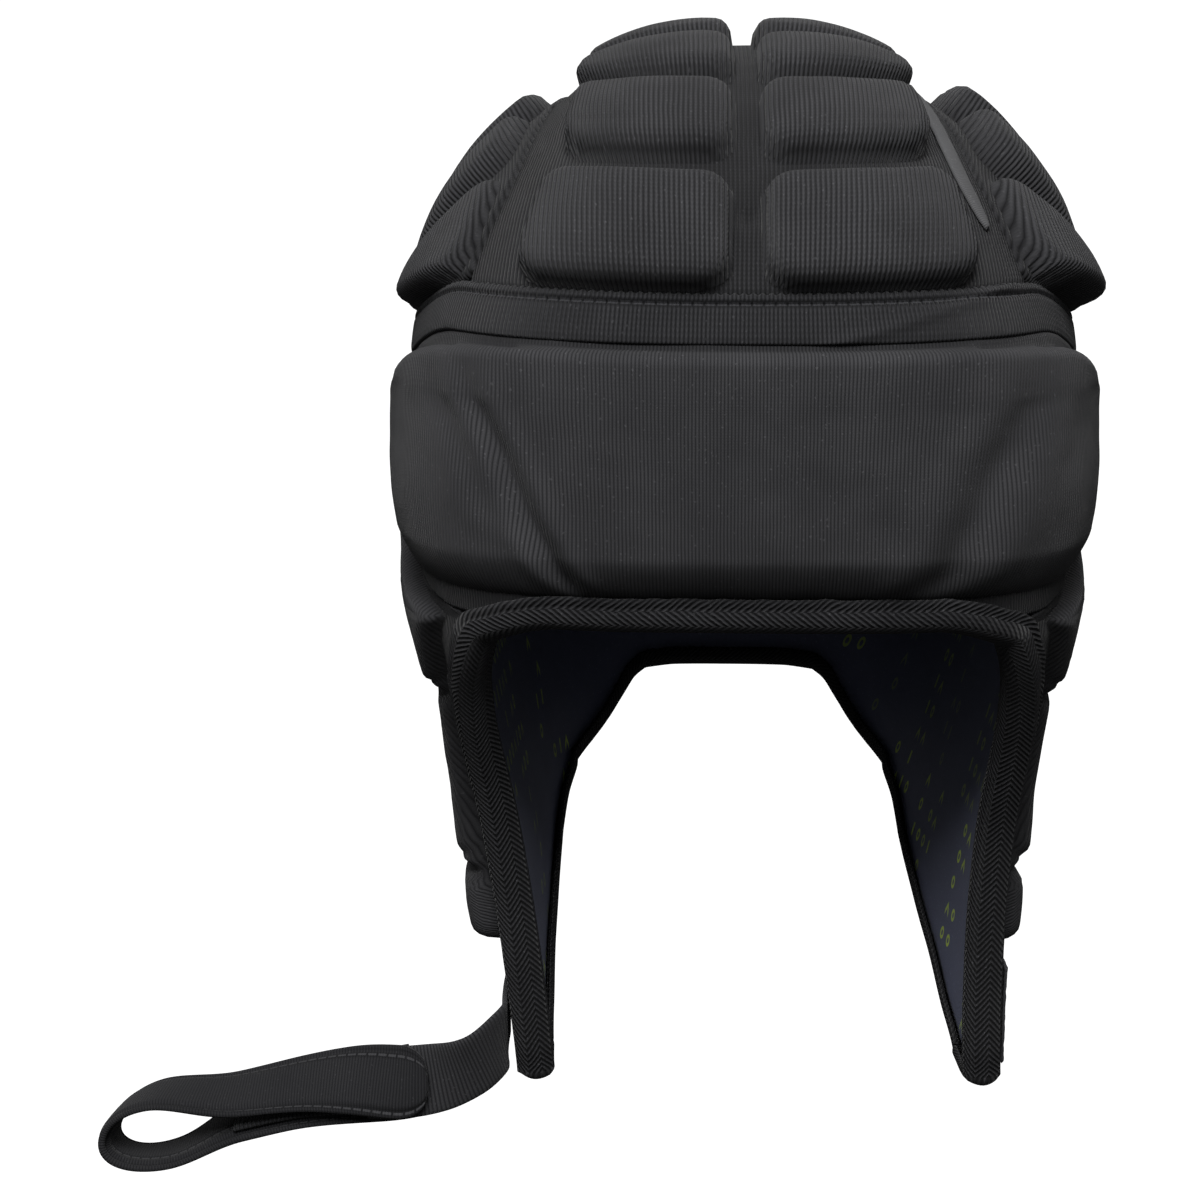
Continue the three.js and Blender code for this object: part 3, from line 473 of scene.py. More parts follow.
# %% Rib knit
rib_knit, knit_in, knit_out = new_group(
    "rib_knit",
    [
        ("Weave", "NodeSocketVector", None),
        ("Rib", "NodeSocketFloat", 1.2 * MM),
        ("Stitch", "NodeSocketFloat", 0.9 * MM),
    ],
    ["Height"],
)
knit_axes = axes(rib_knit, knit_in["Weave"])
wander = calc(rib_knit, "MULTIPLY", cloud(rib_knit, knit_in["Weave"], 90), 0.5)
lanes = calc(rib_knit, "ADD", calc(rib_knit, "DIVIDE", knit_axes[0], knit_in["Rib"]), wander)
from_middle = calc(rib_knit, "ABSOLUTE", calc(rib_knit, "SUBTRACT", calc(rib_knit, "FRACT", lanes), 0.5))
rib_round = calc(rib_knit, "COSINE", calc(rib_knit, "MULTIPLY", from_middle, math.pi))
rows = calc(rib_knit, "DIVIDE", knit_axes[1], knit_in["Stitch"])
slant = calc(rib_knit, "ADD", rows, calc(rib_knit, "MULTIPLY", from_middle, 1.3))
loops = calc(rib_knit, "PINGPONG", slant, 0.5)
loop_height = calc(rib_knit, "MULTIPLY_ADD", loops, 0.3, 0.85)
rib_knit.links.new(
    calc(rib_knit, "MULTIPLY", calc(rib_knit, "POWER", rib_round, 0.8), loop_height),
    knit_out["Height"],
)
print("rib knit group ready")

# %% Herringbone tape
herringbone, bone_in, bone_out = new_group(
    "herringbone",
    [
        ("Weave", "NodeSocketVector", None),
        ("Wale", "NodeSocketFloat", 1.1 * MM),
        ("Band", "NodeSocketFloat", 5 * MM),
        ("Steepness", "NodeSocketFloat", 0.6),
    ],
    ["Height"],
)
bone_axes = axes(herringbone, bone_in["Weave"])
zigzag = calc(herringbone, "PINGPONG", bone_axes[1], bone_in["Band"])
wales = calc(
    herringbone,
    "DIVIDE",
    calc(herringbone, "ADD", bone_axes[0], calc(herringbone, "DIVIDE", zigzag, bone_in["Steepness"])),
    bone_in["Wale"],
)
ridge = calc(herringbone, "PINGPONG", wales, 0.5)
yarn = calc(herringbone, "PINGPONG", calc(herringbone, "DIVIDE", bone_axes[1], 0.9 * MM), 0.5)
yarn_height = calc(herringbone, "MULTIPLY_ADD", yarn, 0.5, 0.75)
bone = calc(herringbone, "MULTIPLY", calc(herringbone, "MULTIPLY", ridge, 2.0), yarn_height)
herringbone.links.new(bone, bone_out["Height"])
print("herringbone group ready")

# %% Stitched line
stitch_line, line_in, line_out = new_group(
    "stitch_line",
    [
        ("Along", "NodeSocketFloat", 0.0),
        ("Aside", "NodeSocketFloat", 0.0),
        ("Length", "NodeSocketFloat", 2.4 * MM),
        ("Width", "NodeSocketFloat", 0.7 * MM),
    ],
    ["Thread", "Dent"],
)
phase = calc(stitch_line, "FRACT", calc(stitch_line, "DIVIDE", line_in["Along"], line_in["Length"]))
middle = calc(stitch_line, "ABSOLUTE", calc(stitch_line, "SUBTRACT", phase, 0.5))
dash = ramp(stitch_line, middle, 0.36, 0.44, 1.0, 0.0)
away = calc(stitch_line, "DIVIDE", calc(stitch_line, "ABSOLUTE", line_in["Aside"]), line_in["Width"])
thread = calc(stitch_line, "MULTIPLY", dash, ramp(stitch_line, away, 0.3, 0.6, 1.0, 0.0))
stitch_line.links.new(thread, line_out["Thread"])
stitch_line.links.new(ramp(stitch_line, away, 0.4, 1.6, 1.0, 0.0), line_out["Dent"])
print("stitch line group ready")


# %% [markdown]
# ## Finishes
# All cloths share one recipe: a height from the weave, a colour that is darker between the threads as
# painted shade and clouded a little as worn dye is, a bump from the same height, and the faint sheen of
# short fibres. Black knit gives back only two or three hundredths of the light, so its colours are very low
# numbers.

# %% A cloth's shader
def start_cloth(name, sheen=0.035, roughness=0.9, gloss=0.1):
    """A new material: its tree, its shader and the output of its Weave map."""
    material = bpy.data.materials.new(name)
    material.use_nodes = True
    tree = material.node_tree
    shader = tree.nodes["Principled BSDF"]
    shader.inputs["Roughness"].default_value = roughness
    shader.inputs["Specular IOR Level"].default_value = gloss
    shader.inputs["Sheen Weight"].default_value = sheen
    shader.inputs["Sheen Roughness"].default_value = 0.4
    weave = tree.nodes.new("ShaderNodeUVMap")
    weave.uv_map = "Weave"
    return material, tree, shader, weave.outputs["UV"]


def use_group(tree, group, **values):
    """Places a shader group with its values."""
    node = tree.nodes.new("ShaderNodeGroup")
    node.node_tree = group
    for title, value in values.items():
        feed(tree, node.inputs[title], value)
    return node.outputs


def blend_colours(tree, share, low, high):
    """A colour between two, by a share from 0 to 1; either may be a socket."""
    node = tree.nodes.new("ShaderNodeMix")
    node.data_type = "RGBA"
    feed(tree, node.inputs["Factor"], share)
    for title, colour in (("A", low), ("B", high)):
        socket = [s for s in node.inputs if s.name == title and s.type == "RGBA"][0]
        feed(tree, socket, colour if isinstance(colour, bpy.types.NodeSocket) else (*colour, 1))
    return [s for s in node.outputs if s.type == "RGBA"][0]


def relief_bump(tree, shader, height, depth):
    """Bumps the surface by a height from 0 to 1 that is so deep in metres."""
    node = tree.nodes.new("ShaderNodeBump")
    node.inputs["Distance"].default_value = depth
    tree.links.new(height, node.inputs["Height"])
    tree.links.new(node.outputs["Normal"], shader.inputs["Normal"])


def dye_and_thread_shade(tree, weave, height, dark, light, clouding=0.3):
    """Thread colour with painted shade: dark between the threads, light on them, clouded a little, with
    stray fibres.
    """
    patches = ramp(tree, cloud(tree, weave, 60, 4.0), 0.3, 0.7, 1 - clouding, 1.0)
    cloth = blend_colours(tree, calc(tree, "MULTIPLY", height, patches), dark, light)
    fluff = ramp(tree, cloud(tree, weave, 1500, 0.0), 0.74, 0.8)
    return blend_colours(tree, calc(tree, "MULTIPLY", fluff, 0.35), cloth, [2.2 * c for c in light])


# Painted shade for the low ground and the grooves between the pads.
PRESSED_SHADE_BLACK = (0.001, 0.001, 0.0012)


def knit_cloth(name, rib, stitch, dark, light, depth, pressed_shade=0.0):
    """A knitted cloth with ribs of one width, darkened by a share of painted shade where it lies flattened
    between pads.
    """
    material, tree, shader, weave = start_cloth(name)
    height = use_group(tree, rib_knit, Weave=weave, Rib=rib, Stitch=stitch)["Height"]
    cloth = dye_and_thread_shade(tree, weave, height, dark, light)
    if pressed_shade:
        # Painted shade: the ground between the pads is darkened by its mask.
        mark = tree.nodes.new("ShaderNodeAttribute")
        mark.attribute_name = "Pressed_Shade"
        share = calc(tree, "MULTIPLY", mark.outputs["Fac"], pressed_shade)
        cloth = blend_colours(tree, share, cloth, PRESSED_SHADE_BLACK)
    tree.links.new(cloth, shader.inputs["Base Color"])
    relief_bump(tree, shader, height, depth)
    return material


# Each cloth takes two colours: the first is painted shade between its threads, the second the colour on
# them.
GROOVE_BLACK = (0.003, 0.003, 0.0036)
RIB_BLACK = (0.029, 0.029, 0.031)
KNIT_GROOVE = (0.007, 0.007, 0.008)
FINE_BLACK = (0.028, 0.028, 0.0298)
WEBBING_GROOVE = (0.006, 0.006, 0.007)
HOOK_BLACKS = ((0.002, 0.002, 0.002), (0.02, 0.02, 0.022))
LOOP_BLACKS = ((0.01, 0.01, 0.011), (0.05, 0.05, 0.054))
STRIP_GREYS = ((0.03, 0.03, 0.031), (0.056, 0.056, 0.058))
# The last number of a knit is how strongly painted shade darkens the ground between its pads.
crown_knit = knit_cloth("crown_rib_knit", 0.95 * MM, 1.0 * MM, GROOVE_BLACK, RIB_BLACK, 0.55 * MM, 0.45)
fine_knit = knit_cloth("fine_knit", 0.72 * MM, 0.6 * MM, KNIT_GROOVE, FINE_BLACK, 0.2 * MM, 0.5)
webbing_knit = knit_cloth("webbing", 0.9 * MM, 0.8 * MM, WEBBING_GROOVE, FINE_BLACK, 0.25 * MM)
hook_tape = knit_cloth("hook_tape", 1.0 * MM, 1.0 * MM, *HOOK_BLACKS, 0.6 * MM)
loop_tape = knit_cloth("loop_tape", 0.7 * MM, 0.7 * MM, *LOOP_BLACKS, 0.3 * MM)
strip_tape = knit_cloth("strip_tape", 0.5 * MM, 0.5 * MM, *STRIP_GREYS, 0.08 * MM)
print("knits ready")

# %% Elastic of the band
BAND_WIDTH = 9.5
BAND_STITCH = 2.1
# The band's threads: painted shade between them, then their colour.
BAND_BLACKS = (GROOVE_BLACK, (0.02, 0.02, 0.0215))
BAND_DENT_SHADE = (0.002, 0.002, 0.0025)
BAND_THREAD = (0.02, 0.02, 0.022)
elastic_cloth, tree, shader, weave = start_cloth("band_elastic")
ribs = use_group(tree, rib_knit, Weave=weave, Rib=0.85 * MM, Stitch=1.1 * MM)["Height"]
parts = axes(tree, weave)
seam = use_group(
    tree, stitch_line, Along=parts[0], Aside=calc(tree, "SUBTRACT", parts[1], BAND_STITCH * MM)
)
cloth = dye_and_thread_shade(tree, weave, ribs, *BAND_BLACKS)
# Painted shade in the dent along the stitched line.
cloth = blend_colours(tree, calc(tree, "MULTIPLY", seam["Dent"], 0.8), cloth, BAND_DENT_SHADE)
cloth = blend_colours(tree, seam["Thread"], cloth, BAND_THREAD)
tree.links.new(cloth, shader.inputs["Base Color"])
relief_bump(tree, shader, calc(tree, "SUBTRACT", ribs, seam["Dent"]), 0.4 * MM)
print("elastic ready")

# %% Cloth of the tab
TAB_WIDTH = 17.5
TAB_STITCH = 0.8  # place of its two stitched lines, as a share of its half width
# Painted shade between the tab's threads, then their colour.
TAB_BLACKS = ((0.005, 0.005, 0.006), (0.014, 0.014, 0.015))
TAB_DENT_SHADE = (0.003, 0.003, 0.0035)
TAB_THREAD = (0.03, 0.03, 0.032)
tab_knit, tree, shader, weave = start_cloth("tab_knit")
ribs = use_group(tree, rib_knit, Weave=weave, Rib=0.7 * MM, Stitch=0.6 * MM)["Height"]
parts = axes(tree, weave)
from_edge = calc(
    tree, "PINGPONG", calc(tree, "ADD", parts[1], TAB_WIDTH / 2 * MM), TAB_WIDTH / 2 * MM
)
aside = calc(tree, "SUBTRACT", from_edge, (1 - TAB_STITCH) * TAB_WIDTH / 2 * MM)
seam = use_group(tree, stitch_line, Along=parts[0], Aside=aside, Width=0.8 * MM)
cloth = dye_and_thread_shade(tree, weave, ribs, *TAB_BLACKS)
# Painted shade in the dents along the stitched lines.
cloth = blend_colours(tree, calc(tree, "MULTIPLY", seam["Dent"], 0.7), cloth, TAB_DENT_SHADE)
cloth = blend_colours(tree, calc(tree, "MULTIPLY", seam["Thread"], 0.8), cloth, TAB_THREAD)
tree.links.new(cloth, shader.inputs["Base Color"])
relief_bump(tree, shader, calc(tree, "SUBTRACT", ribs, seam["Dent"]), 0.15 * MM)
print("tab cloth ready")

# %% Binding tape
# Painted shade between the tape's threads, then their colour.
BINDING_BLACKS = ((0.003, 0.003, 0.0036), (0.028, 0.028, 0.03))
binding_tape, tree, shader, weave = start_cloth("herringbone_tape")
bone_height = use_group(
    tree, herringbone, Weave=weave, Wale=1.6 * MM, Band=3.3 * MM, Steepness=0.8
)["Height"]
tree.links.new(dye_and_thread_shade(tree, weave, bone_height, *BINDING_BLACKS), shader.inputs["Base Color"])
relief_bump(tree, shader, bone_height, 0.6 * MM)
print("binding tape ready")

# %% [markdown]
# ## The lining's print
# The lining is a smooth dark blue-black cloth with small yellow-green marks in slanting columns: plain
# dashes, arrowheads and rings. Each cell of a slanted grid holds one mark, and a random value of the cell
# picks its kind or leaves it out. A second random value, the same for a block of cells, leaves whole
# blocks bare and makes the others paler or brighter, as worn print is.

# %% Lining
MARK_CELL = (6.2 * MM, 7.6 * MM)
MARK_SLANT = 0.35
MARK_BLOCK = (2.0, 5.0)  # cells across and along in a block that is printed or bare
CELLS_BARE = 0.3
BLOCKS_BARE = 0.62
DASH_NARROW = 2.6
ARROW_SLOPE = 1.4
RING_RADIUS = 0.18
# Painted shade between the lining's threads, then their colour.
LINING_BLUES = ((0.055, 0.06, 0.095), (0.1, 0.11, 0.165))
MARK_GREEN = (0.36, 0.46, 0.075)
lining_cloth, tree, shader, weave = start_cloth("lining_cloth", sheen=0.02, roughness=0.6)
fine = use_group(tree, rib_knit, Weave=weave, Rib=0.5 * MM, Stitch=0.5 * MM)["Height"]
parts = axes(tree, weave)
column = calc(
    tree, "DIVIDE", calc(tree, "ADD", parts[0], calc(tree, "MULTIPLY", parts[1], MARK_SLANT)), MARK_CELL[0]
)
line = calc(tree, "DIVIDE", parts[1], MARK_CELL[1])
cell = tree.nodes.new("ShaderNodeCombineXYZ")
feed(tree, cell.inputs[0], calc(tree, "FLOOR", column))
feed(tree, cell.inputs[1], calc(tree, "FLOOR", line))
pick = tree.nodes.new("ShaderNodeTexWhiteNoise")
tree.links.new(cell.outputs[0], pick.inputs["Vector"])
local_x = calc(tree, "SUBTRACT", calc(tree, "FRACT", column), 0.5)
local_y = calc(tree, "SUBTRACT", calc(tree, "FRACT", line), 0.5)
across = calc(tree, "ABSOLUTE", local_x)
upright = calc(tree, "ABSOLUTE", local_y)
bar = calc(tree, "MAXIMUM", calc(tree, "MULTIPLY", across, DASH_NARROW), upright)
folded = calc(tree, "ADD", local_y, calc(tree, "MULTIPLY", across, ARROW_SLOPE))
bent = calc(tree, "MULTIPLY", calc(tree, "ABSOLUTE", calc(tree, "SUBTRACT", folded, 0.12)), 2.2)
arrow = calc(tree, "MAXIMUM", bent, across)
squares = [calc(tree, "POWER", part, 2.0) for part in (across, upright)]
from_ring = calc(tree, "SUBTRACT", calc(tree, "SQRT", calc(tree, "ADD", *squares)), RING_RADIUS)
ring_mark = calc(tree, "MULTIPLY", calc(tree, "ABSOLUTE", from_ring), 4.0)
value = pick.outputs["Value"]
lot = calc(tree, "FRACT", calc(tree, "MULTIPLY", value, 7.0))
is_bar = calc(tree, "LESS_THAN", lot, 0.3)
is_ring = calc(tree, "GREATER_THAN", lot, 0.65)
is_arrow = calc(tree, "SUBTRACT", calc(tree, "SUBTRACT", 1.0, is_bar), is_ring)
shape = calc(tree, "MULTIPLY", bar, is_bar)
shape = calc(tree, "ADD", shape, calc(tree, "MULTIPLY", ring_mark, is_ring))
shape = calc(tree, "ADD", shape, calc(tree, "MULTIPLY", arrow, is_arrow))
mark = ramp(tree, shape, 0.22, 0.28, 1.0, 0.0)
group_cell = tree.nodes.new("ShaderNodeCombineXYZ")
feed(tree, group_cell.inputs[0], calc(tree, "FLOOR", calc(tree, "DIVIDE", column, MARK_BLOCK[0])))
feed(tree, group_cell.inputs[1], calc(tree, "FLOOR", calc(tree, "DIVIDE", line, MARK_BLOCK[1])))
group_pick = tree.nodes.new("ShaderNodeTexWhiteNoise")
tree.links.new(group_cell.outputs[0], group_pick.inputs["Vector"])
printed = calc(
    tree,
    "MULTIPLY",
    calc(tree, "GREATER_THAN", value, CELLS_BARE),
    calc(tree, "GREATER_THAN", group_pick.outputs["Value"], BLOCKS_BARE),
)
strength = calc(tree, "MULTIPLY_ADD", group_pick.outputs["Value"], 2.2, -1.2)
mark = calc(tree, "MULTIPLY", calc(tree, "MULTIPLY", mark, printed), strength)
cloth = dye_and_thread_shade(tree, weave, fine, *LINING_BLUES, 0.2)
tree.links.new(blend_colours(tree, mark, cloth, MARK_GREEN), shader.inputs["Base Color"])
relief_bump(tree, shader, fine, 0.03 * MM)
print("lining ready")


# %% Dress a piece
def dress(piece, node, material):
    """Gives a finished piece its material, and puts it in the place of its frame solid."""
    piece.data.materials.append(material)
    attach(piece, "root")
    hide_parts(node)


# %% [markdown]
# ## Crown
# The crown is one ribbed cloth pressed over two columns of eight foam pads, with a groove along the
# middle. Rows of the grid run across the head from seam to seam, level round it near the band and
# straight over the top, and each pad is a rounded box whose walls stand steep as pressed foam does.

# %% Crown grid
# angle over the head from its front to its back, reach as a share of the half width
CROWN_SEAM = np.array(
    [(0, 0.86), (18, 0.78), (40, 0.65), (66, 0.565), (90, 0.54), (125, 0.57), (180, 0.75)]
)
# plan angle, height of the band's upper edge as a share of the crown's rise
BAND_EDGE = np.array([(0, 0.29), (46, 0.29), (62, 0.19), (80, 0.12), (110, 0.1), (180, 0.1)])
CROWN_ROWS = 8
CROWN_ROW_GAP = 6.0
CROWN_MARGIN = 0.5 + HEM_TUCK
CENTRE_GROOVE = 4.6
CROWN_PAD_RISE = 7.5
LEVEL_ROWS = 3
# outer edge of each row of pads as a share of the way to the seam, from the front
CROWN_PAD_REACH = [0.81, 0.8, 0.85, 0.85, 0.85, 0.85, 0.85, 0.86]


def band_top(angle):
    """Height of the band's upper edge at a plan angle."""
    return CROWN_RISE * read_table(BAND_EDGE, np.abs(angle), 1)


def seam_reach(angle):
    """Half the crown's width at an angle over the head."""
    return HALF_WIDTH * read_table(CROWN_SEAM, angle, 1)


def crown_point(angle, aside):
    """Points of the crown by angle over the head and distance from its middle."""
    fore, up = np.cos(np.radians(angle)), np.sin(np.radians(angle))
    level = CROWN_RISE * up
    pivot = level * (1 - (1 - np.abs(fore)) ** LEVEL_ROWS)
    aside, pivot, level, fore = np.broadcast_arrays(aside, pivot, level, fore)
    start = np.stack([aside, 0 * aside, pivot], axis=-1)
    aim = np.stack([0 * aside, -HALF_LENGTH * fore, level - pivot], axis=-1)
    return cast_out(start, aim)


crown_start = math.degrees(math.asin((band_top(0) - HEM_TUCK) / CROWN_RISE))
crown_end = 180 - math.degrees(math.asin((band_top(180) - HEM_TUCK) / CROWN_RISE))
crown_angles = np.linspace(crown_start, crown_end, 800)
crown_length = lengths(crown_point(crown_angles, 0.0)[:, None], 0)[:, 0]
pitch = (crown_length[-1] - 2 * CROWN_MARGIN + CROWN_ROW_GAP) / CROWN_ROWS
row_starts = CROWN_MARGIN + pitch * np.arange(CROWN_ROWS)
row_pads = [(start, start + pitch - CROWN_ROW_GAP) for start in row_starts]
top_reach = float(seam_reach(90))
row_edges = [edge for pad in row_pads for edge in pad]
crown_rows = stations(0, crown_length[-1], row_edges + [0, crown_length[-1]], 0.45, 1.5, 4)
column_edges = [CENTRE_GROOVE / 2, 0.83 * top_reach, 0.87 * top_reach, top_reach]
half_columns = stations(0, top_reach, column_edges, 0.5, 1.5, 4) / top_reach
crown_columns = np.concatenate([-half_columns[:0:-1], half_columns])
row_angles = np.interp(crown_rows, crown_length, crown_angles)[:, None]
crown_base = crown_point(row_angles, crown_columns[None] * seam_reach(row_angles))
crown_across = lengths(crown_base, 1)
crown_across -= crown_across[:, [len(half_columns) - 1]]
crown_down = np.broadcast_to(crown_rows[:, None], crown_across.shape)
crown_relief = np.zeros(crown_across.shape)
for (low, high), reach in zip(row_pads, CROWN_PAD_REACH):
    along = (np.minimum(crown_down - low, high - crown_down), (high - low) / 2)
    for side in (1, -1):
        span = sorted((side * CENTRE_GROOVE / 2 / top_reach, side * reach))
        across = edge_distance(crown_across, crown_columns, span, 1)
        crown_relief = np.maximum(crown_relief, CROWN_PAD_RISE * pad_height(along, across))
print("crown grid", crown_base.shape[:2], "reaches", round(crown_length[-1]), "mm over the head")

# %% Crown cover
PUCKER_UP = 9.0
PUCKER_SIZE = 2.0
PUCKER_DEPTH = 1.6


def pucker(points, centre, size, depth):
    """A small stitched dent."""
    away = np.linalg.norm(points - centre, axis=-1) / size
    return -depth * np.exp(-(away**2))


pucker_row = row_pads[0][1] - PUCKER_UP
pucker_centre = crown_point(np.interp(pucker_row, crown_length, crown_angles), 0.0)
crown_relief += pucker(crown_base, pucker_centre, PUCKER_SIZE, PUCKER_DEPTH)
crown_weave = np.stack([crown_across, -crown_down], axis=-1)
crown = padded_panel("crown_cover", crown_base, crown_relief, 0.3, 1.0, crown_weave)
dress(crown, "crown_panel", crown_knit)

# %% [markdown]
# ## Side panels
# Between the crown seam and the band lies a lens of ribbed cloth with five pads. Its ribs run up towards
# the crown. The grid goes from the front tip to the back tip, and across from the seam to the band.

# %% Side panels
# share along the panel, angle over the head on the crown seam, plan angle on the band
SIDE_STATIONS = np.array(
    [(0, 19, 49.5), (0.2, 41, 70), (0.4, 62, 86), (0.6, 96, 101), (0.8, 130, 117), (1, 173, 136)]
)
# each pad's height at the crown seam and at the band, as shares of the side's rise
SIDE_PAD_SLOPE = [(0.5, 1.5), (1.2, 0.75), (1.3, 0.8), (1.2, 1.0), (0.8, 1.1)]
SIDE_PAD_GAP = 0.024
SIDE_PAD_TOP = 0.09
SIDE_PAD_BOTTOM = 0.965
SOFT_CORNER = 7.0
SOFT_WALL = 4.5
SIDE_PAD_RISE = {-1: 5.4, 1: 8.0}  # the foam on the wearer's right is pressed flatter
SIDE_RIB_TURN = math.radians(17)

side_edges = [row[0] + s * SIDE_PAD_GAP / 2 for row in SIDE_STATIONS for s in (-1, 1)]
side_along = stations(0, 1, side_edges + [0, 1], 0.0035, 0.009, 0.025)
side_across = stations(0, 1, [0, SIDE_PAD_TOP, SIDE_PAD_BOTTOM, 1], 0.012, 0.035, 0.08)
side_along = side_along[(side_along >= 0) & (side_along <= 1)]


def side_base(side):
    """The grid of a side panel: side is +1 on the wearer's left."""
    seam = read_table(SIDE_STATIONS, side_along, 1)
    band = read_table(SIDE_STATIONS, side_along, 2)
    high = crown_point(seam, seam_reach(seam) + 2 * SEAM_GAP)
    low = form_point(band, band_top(band) - HEM_TUCK)
    chord = high[:, None] + (low - high)[:, None] * side_across[None, :, None]
    return cast_out(np.zeros_like(chord), chord) * (side, 1, 1)


def side_relief(base):
    """The five pads of a side panel, as shares of its rise."""
    along, across = lengths(base, 0), lengths(base, 1)
    relief = np.zeros(along.shape)
    width = edge_distance(across, side_across, (SIDE_PAD_TOP, SIDE_PAD_BOTTOM), 1)
    for start, end, (high, low) in zip(SIDE_STATIONS[:-1, 0], SIDE_STATIONS[1:, 0], SIDE_PAD_SLOPE):
        span = (start + SIDE_PAD_GAP / 2, end - SIDE_PAD_GAP / 2)
        length = edge_distance(along, side_along, span, 0)
        slope = high + (low - high) * side_across[None]
        relief = np.maximum(relief, slope * pad_height(length, width, SOFT_CORNER, SOFT_WALL))
    return relief


def turned(weave, angle):
    """The weave map turned by an angle."""
    cos, sin = math.cos(angle), math.sin(angle)
    return weave @ np.array([[cos, sin], [-sin, cos]])


SIDE_COVERS = ((-1, "side_cover_right", "side_panel_right"), (1, "side_cover_left", "side_panel_left"))
for side, name, node in SIDE_COVERS:
    base = side_base(side)
    along = lengths(base, 0)
    along -= length_at(along, side_along, 0.5, 0)
    weave = turned(np.stack([lengths(base, 1), along], axis=-1), SIDE_RIB_TURN)
    cover = padded_panel(name, base, SIDE_PAD_RISE[side] * side_relief(base), 0.35, 3.0 + side, weave)
    dress(cover, node, crown_knit)

# %% [markdown]
# ## Brow piece
# One wide foam block under fine knit. It is boxy: its top edge is tight, its face nearly flat, and the
# cloth creases where the face bends round to the wings. Below, it slopes back to the rim. The creases are
# pressed into the surface along two leaning lines.

# %% Brow grid
# drop as a share of the flaps' drop, plan angles of an ear panel's front and rear edges
EAR_EDGES = np.array(
    [
        (0.0, 62.5, 125),
        (0.65 * BROW, 61.5, 125),
        (0.835 * BROW, 59.5, 125),
        (0.95 * BROW, 52.5, 125),
        (0.993 * BROW, 46, 125),
        (1.036 * BROW, 38.6, 125),
        (1.105 * BROW, 40.6, 125),
        (1.23 * BROW, 43.4, 125),
        (0.405, 47.8, 125),
        (0.52, 53.5, 125),
        (0.62, 56.5, 125),
        (0.72, 58, 125),
        (0.76, 58.4, 117),
        (0.815, 58.7, 106.5),
        (0.86, 59, 95),
        (0.905, 59.2, 83.5),
        (0.95, 59.5, 76),
        (1.0, 60.5, 68),
    ]
)
SEAM_ANGLE = 0.1
BROW_RISE = 8.0
BROW_WING = (0.72, 0.3)  # height of the block at its ends as a share, at its top and its foot
BROW_WING_FALL = 6.0
BROW_PAD_TOP = 1.2
BROW_PAD_BOTTOM = 6.0
BROW_PAD_END = 0.985
BROW_TOP_WALL = 3.0
BROW_LOW_WALL = 9.5
BROW_LOW_SHOULDER = 1.3


def ear_edge(height, column):
    """Plan angle of an ear panel's front edge (column 1) or rear edge (2) at a height."""
    return read_table(EAR_EDGES, np.clip(-height / FLAP_DROP, 0, 1), column)


def band_bottom(angle):
    """Height of the band's lower edge at a plan angle."""
    return band_top(angle) - BAND_WIDTH


brow_columns = stations(-1, 1, [-1, -BROW_PAD_END, BROW_PAD_END, 1], 0.006, 0.012, 0.05)
brow_rows = stations(0, 1, [0, 0.1, 0.17, 0.78, 0.88, 1], 0.0075, 0.018, 0.06)
share = brow_columns[None]
brow_top = band_bottom(share * (ear_edge(0, 1) - SEAM_ANGLE)) + HEM_TUCK
brow_height = brow_top + (-BROW_DROP - brow_top) * brow_rows[:, None]
brow_angle = share * (ear_edge(brow_height - SEAM_GAP, 1) - SEAM_ANGLE)
brow_base = form_point(brow_angle, brow_height)
print("brow grid", brow_base.shape[:2])

# %% Brow cover
# plan angle and height at both ends of a crease, its half width in degrees and its depth
BROW_CREASES = [
    ((-40, 7), (-26.8, -38), 1.3, 2.8),
    ((41, 6), (28.2, -38), 2.6, 2.1),
    ((-44.5, 5), (-34, -24), 1.8, 0.9),
]


def brow_relief():
    """The block's height: tight at its top and its ends, sloping back to the rim below."""
    across = lengths(brow_base, 1)
    from_end = edge_distance(across, brow_columns, (-BROW_PAD_END, BROW_PAD_END), 1)[0]
    from_top = brow_top - HEM_TUCK - BROW_PAD_TOP - BROW_WING_FALL * share**4 - brow_height
    from_rim = brow_height + BROW_DROP - BROW_PAD_BOTTOM
    walls = wall_height(from_top, BROW_TOP_WALL) * wall_height(from_end, BROW_TOP_WALL)
    walls *= wall_height(from_rim, BROW_LOW_WALL, BROW_LOW_SHOULDER)
    wing = BROW_WING[0] + (BROW_WING[1] - BROW_WING[0]) * brow_rows[:, None]
    return BROW_RISE * (1 + (wing - 1) * share**2) * walls


def crease(angle, height, start, end, width, depth):
    """A valley along a straight line on the unrolled brow, shallow at its upper end."""
    (a0, h0), (a1, h1) = start, end
    along = (height - h0) / (h1 - h0)
    away = (angle - (a0 + (a1 - a0) * along)) / width
    fade = np.clip(along * 2.5, 0, 1) * np.clip((1.18 - along) * 6, 0, 1)
    lip = 0.35 * np.exp(-((np.abs(away) - 2.2) ** 2))
    return depth * fade * (lip - np.exp(-(away**2)))


relief = brow_relief()
for start, end, width, depth in BROW_CREASES:
    raised = np.minimum(1.6 * relief / BROW_RISE, 1)
    relief += raised * crease(brow_angle, brow_height, start, end, width, depth)
brow = padded_panel("brow_cover", brow_base, relief, 0.45, 4.0)
dress(brow, "brow_pad", fine_knit)

# %% [markdown]
# ## Ear panels
# Each covers the temple and the ear and runs down into a flap, with two columns of pads and a single
# smaller pad below them. Its front edge turns the corner of the face opening, so its rows are level lines
# that start and end on curved edges.

# %% Ear panels
EAR_LEVEL_DROP = 0.18
EAR_PAD_CORNER = 6.0
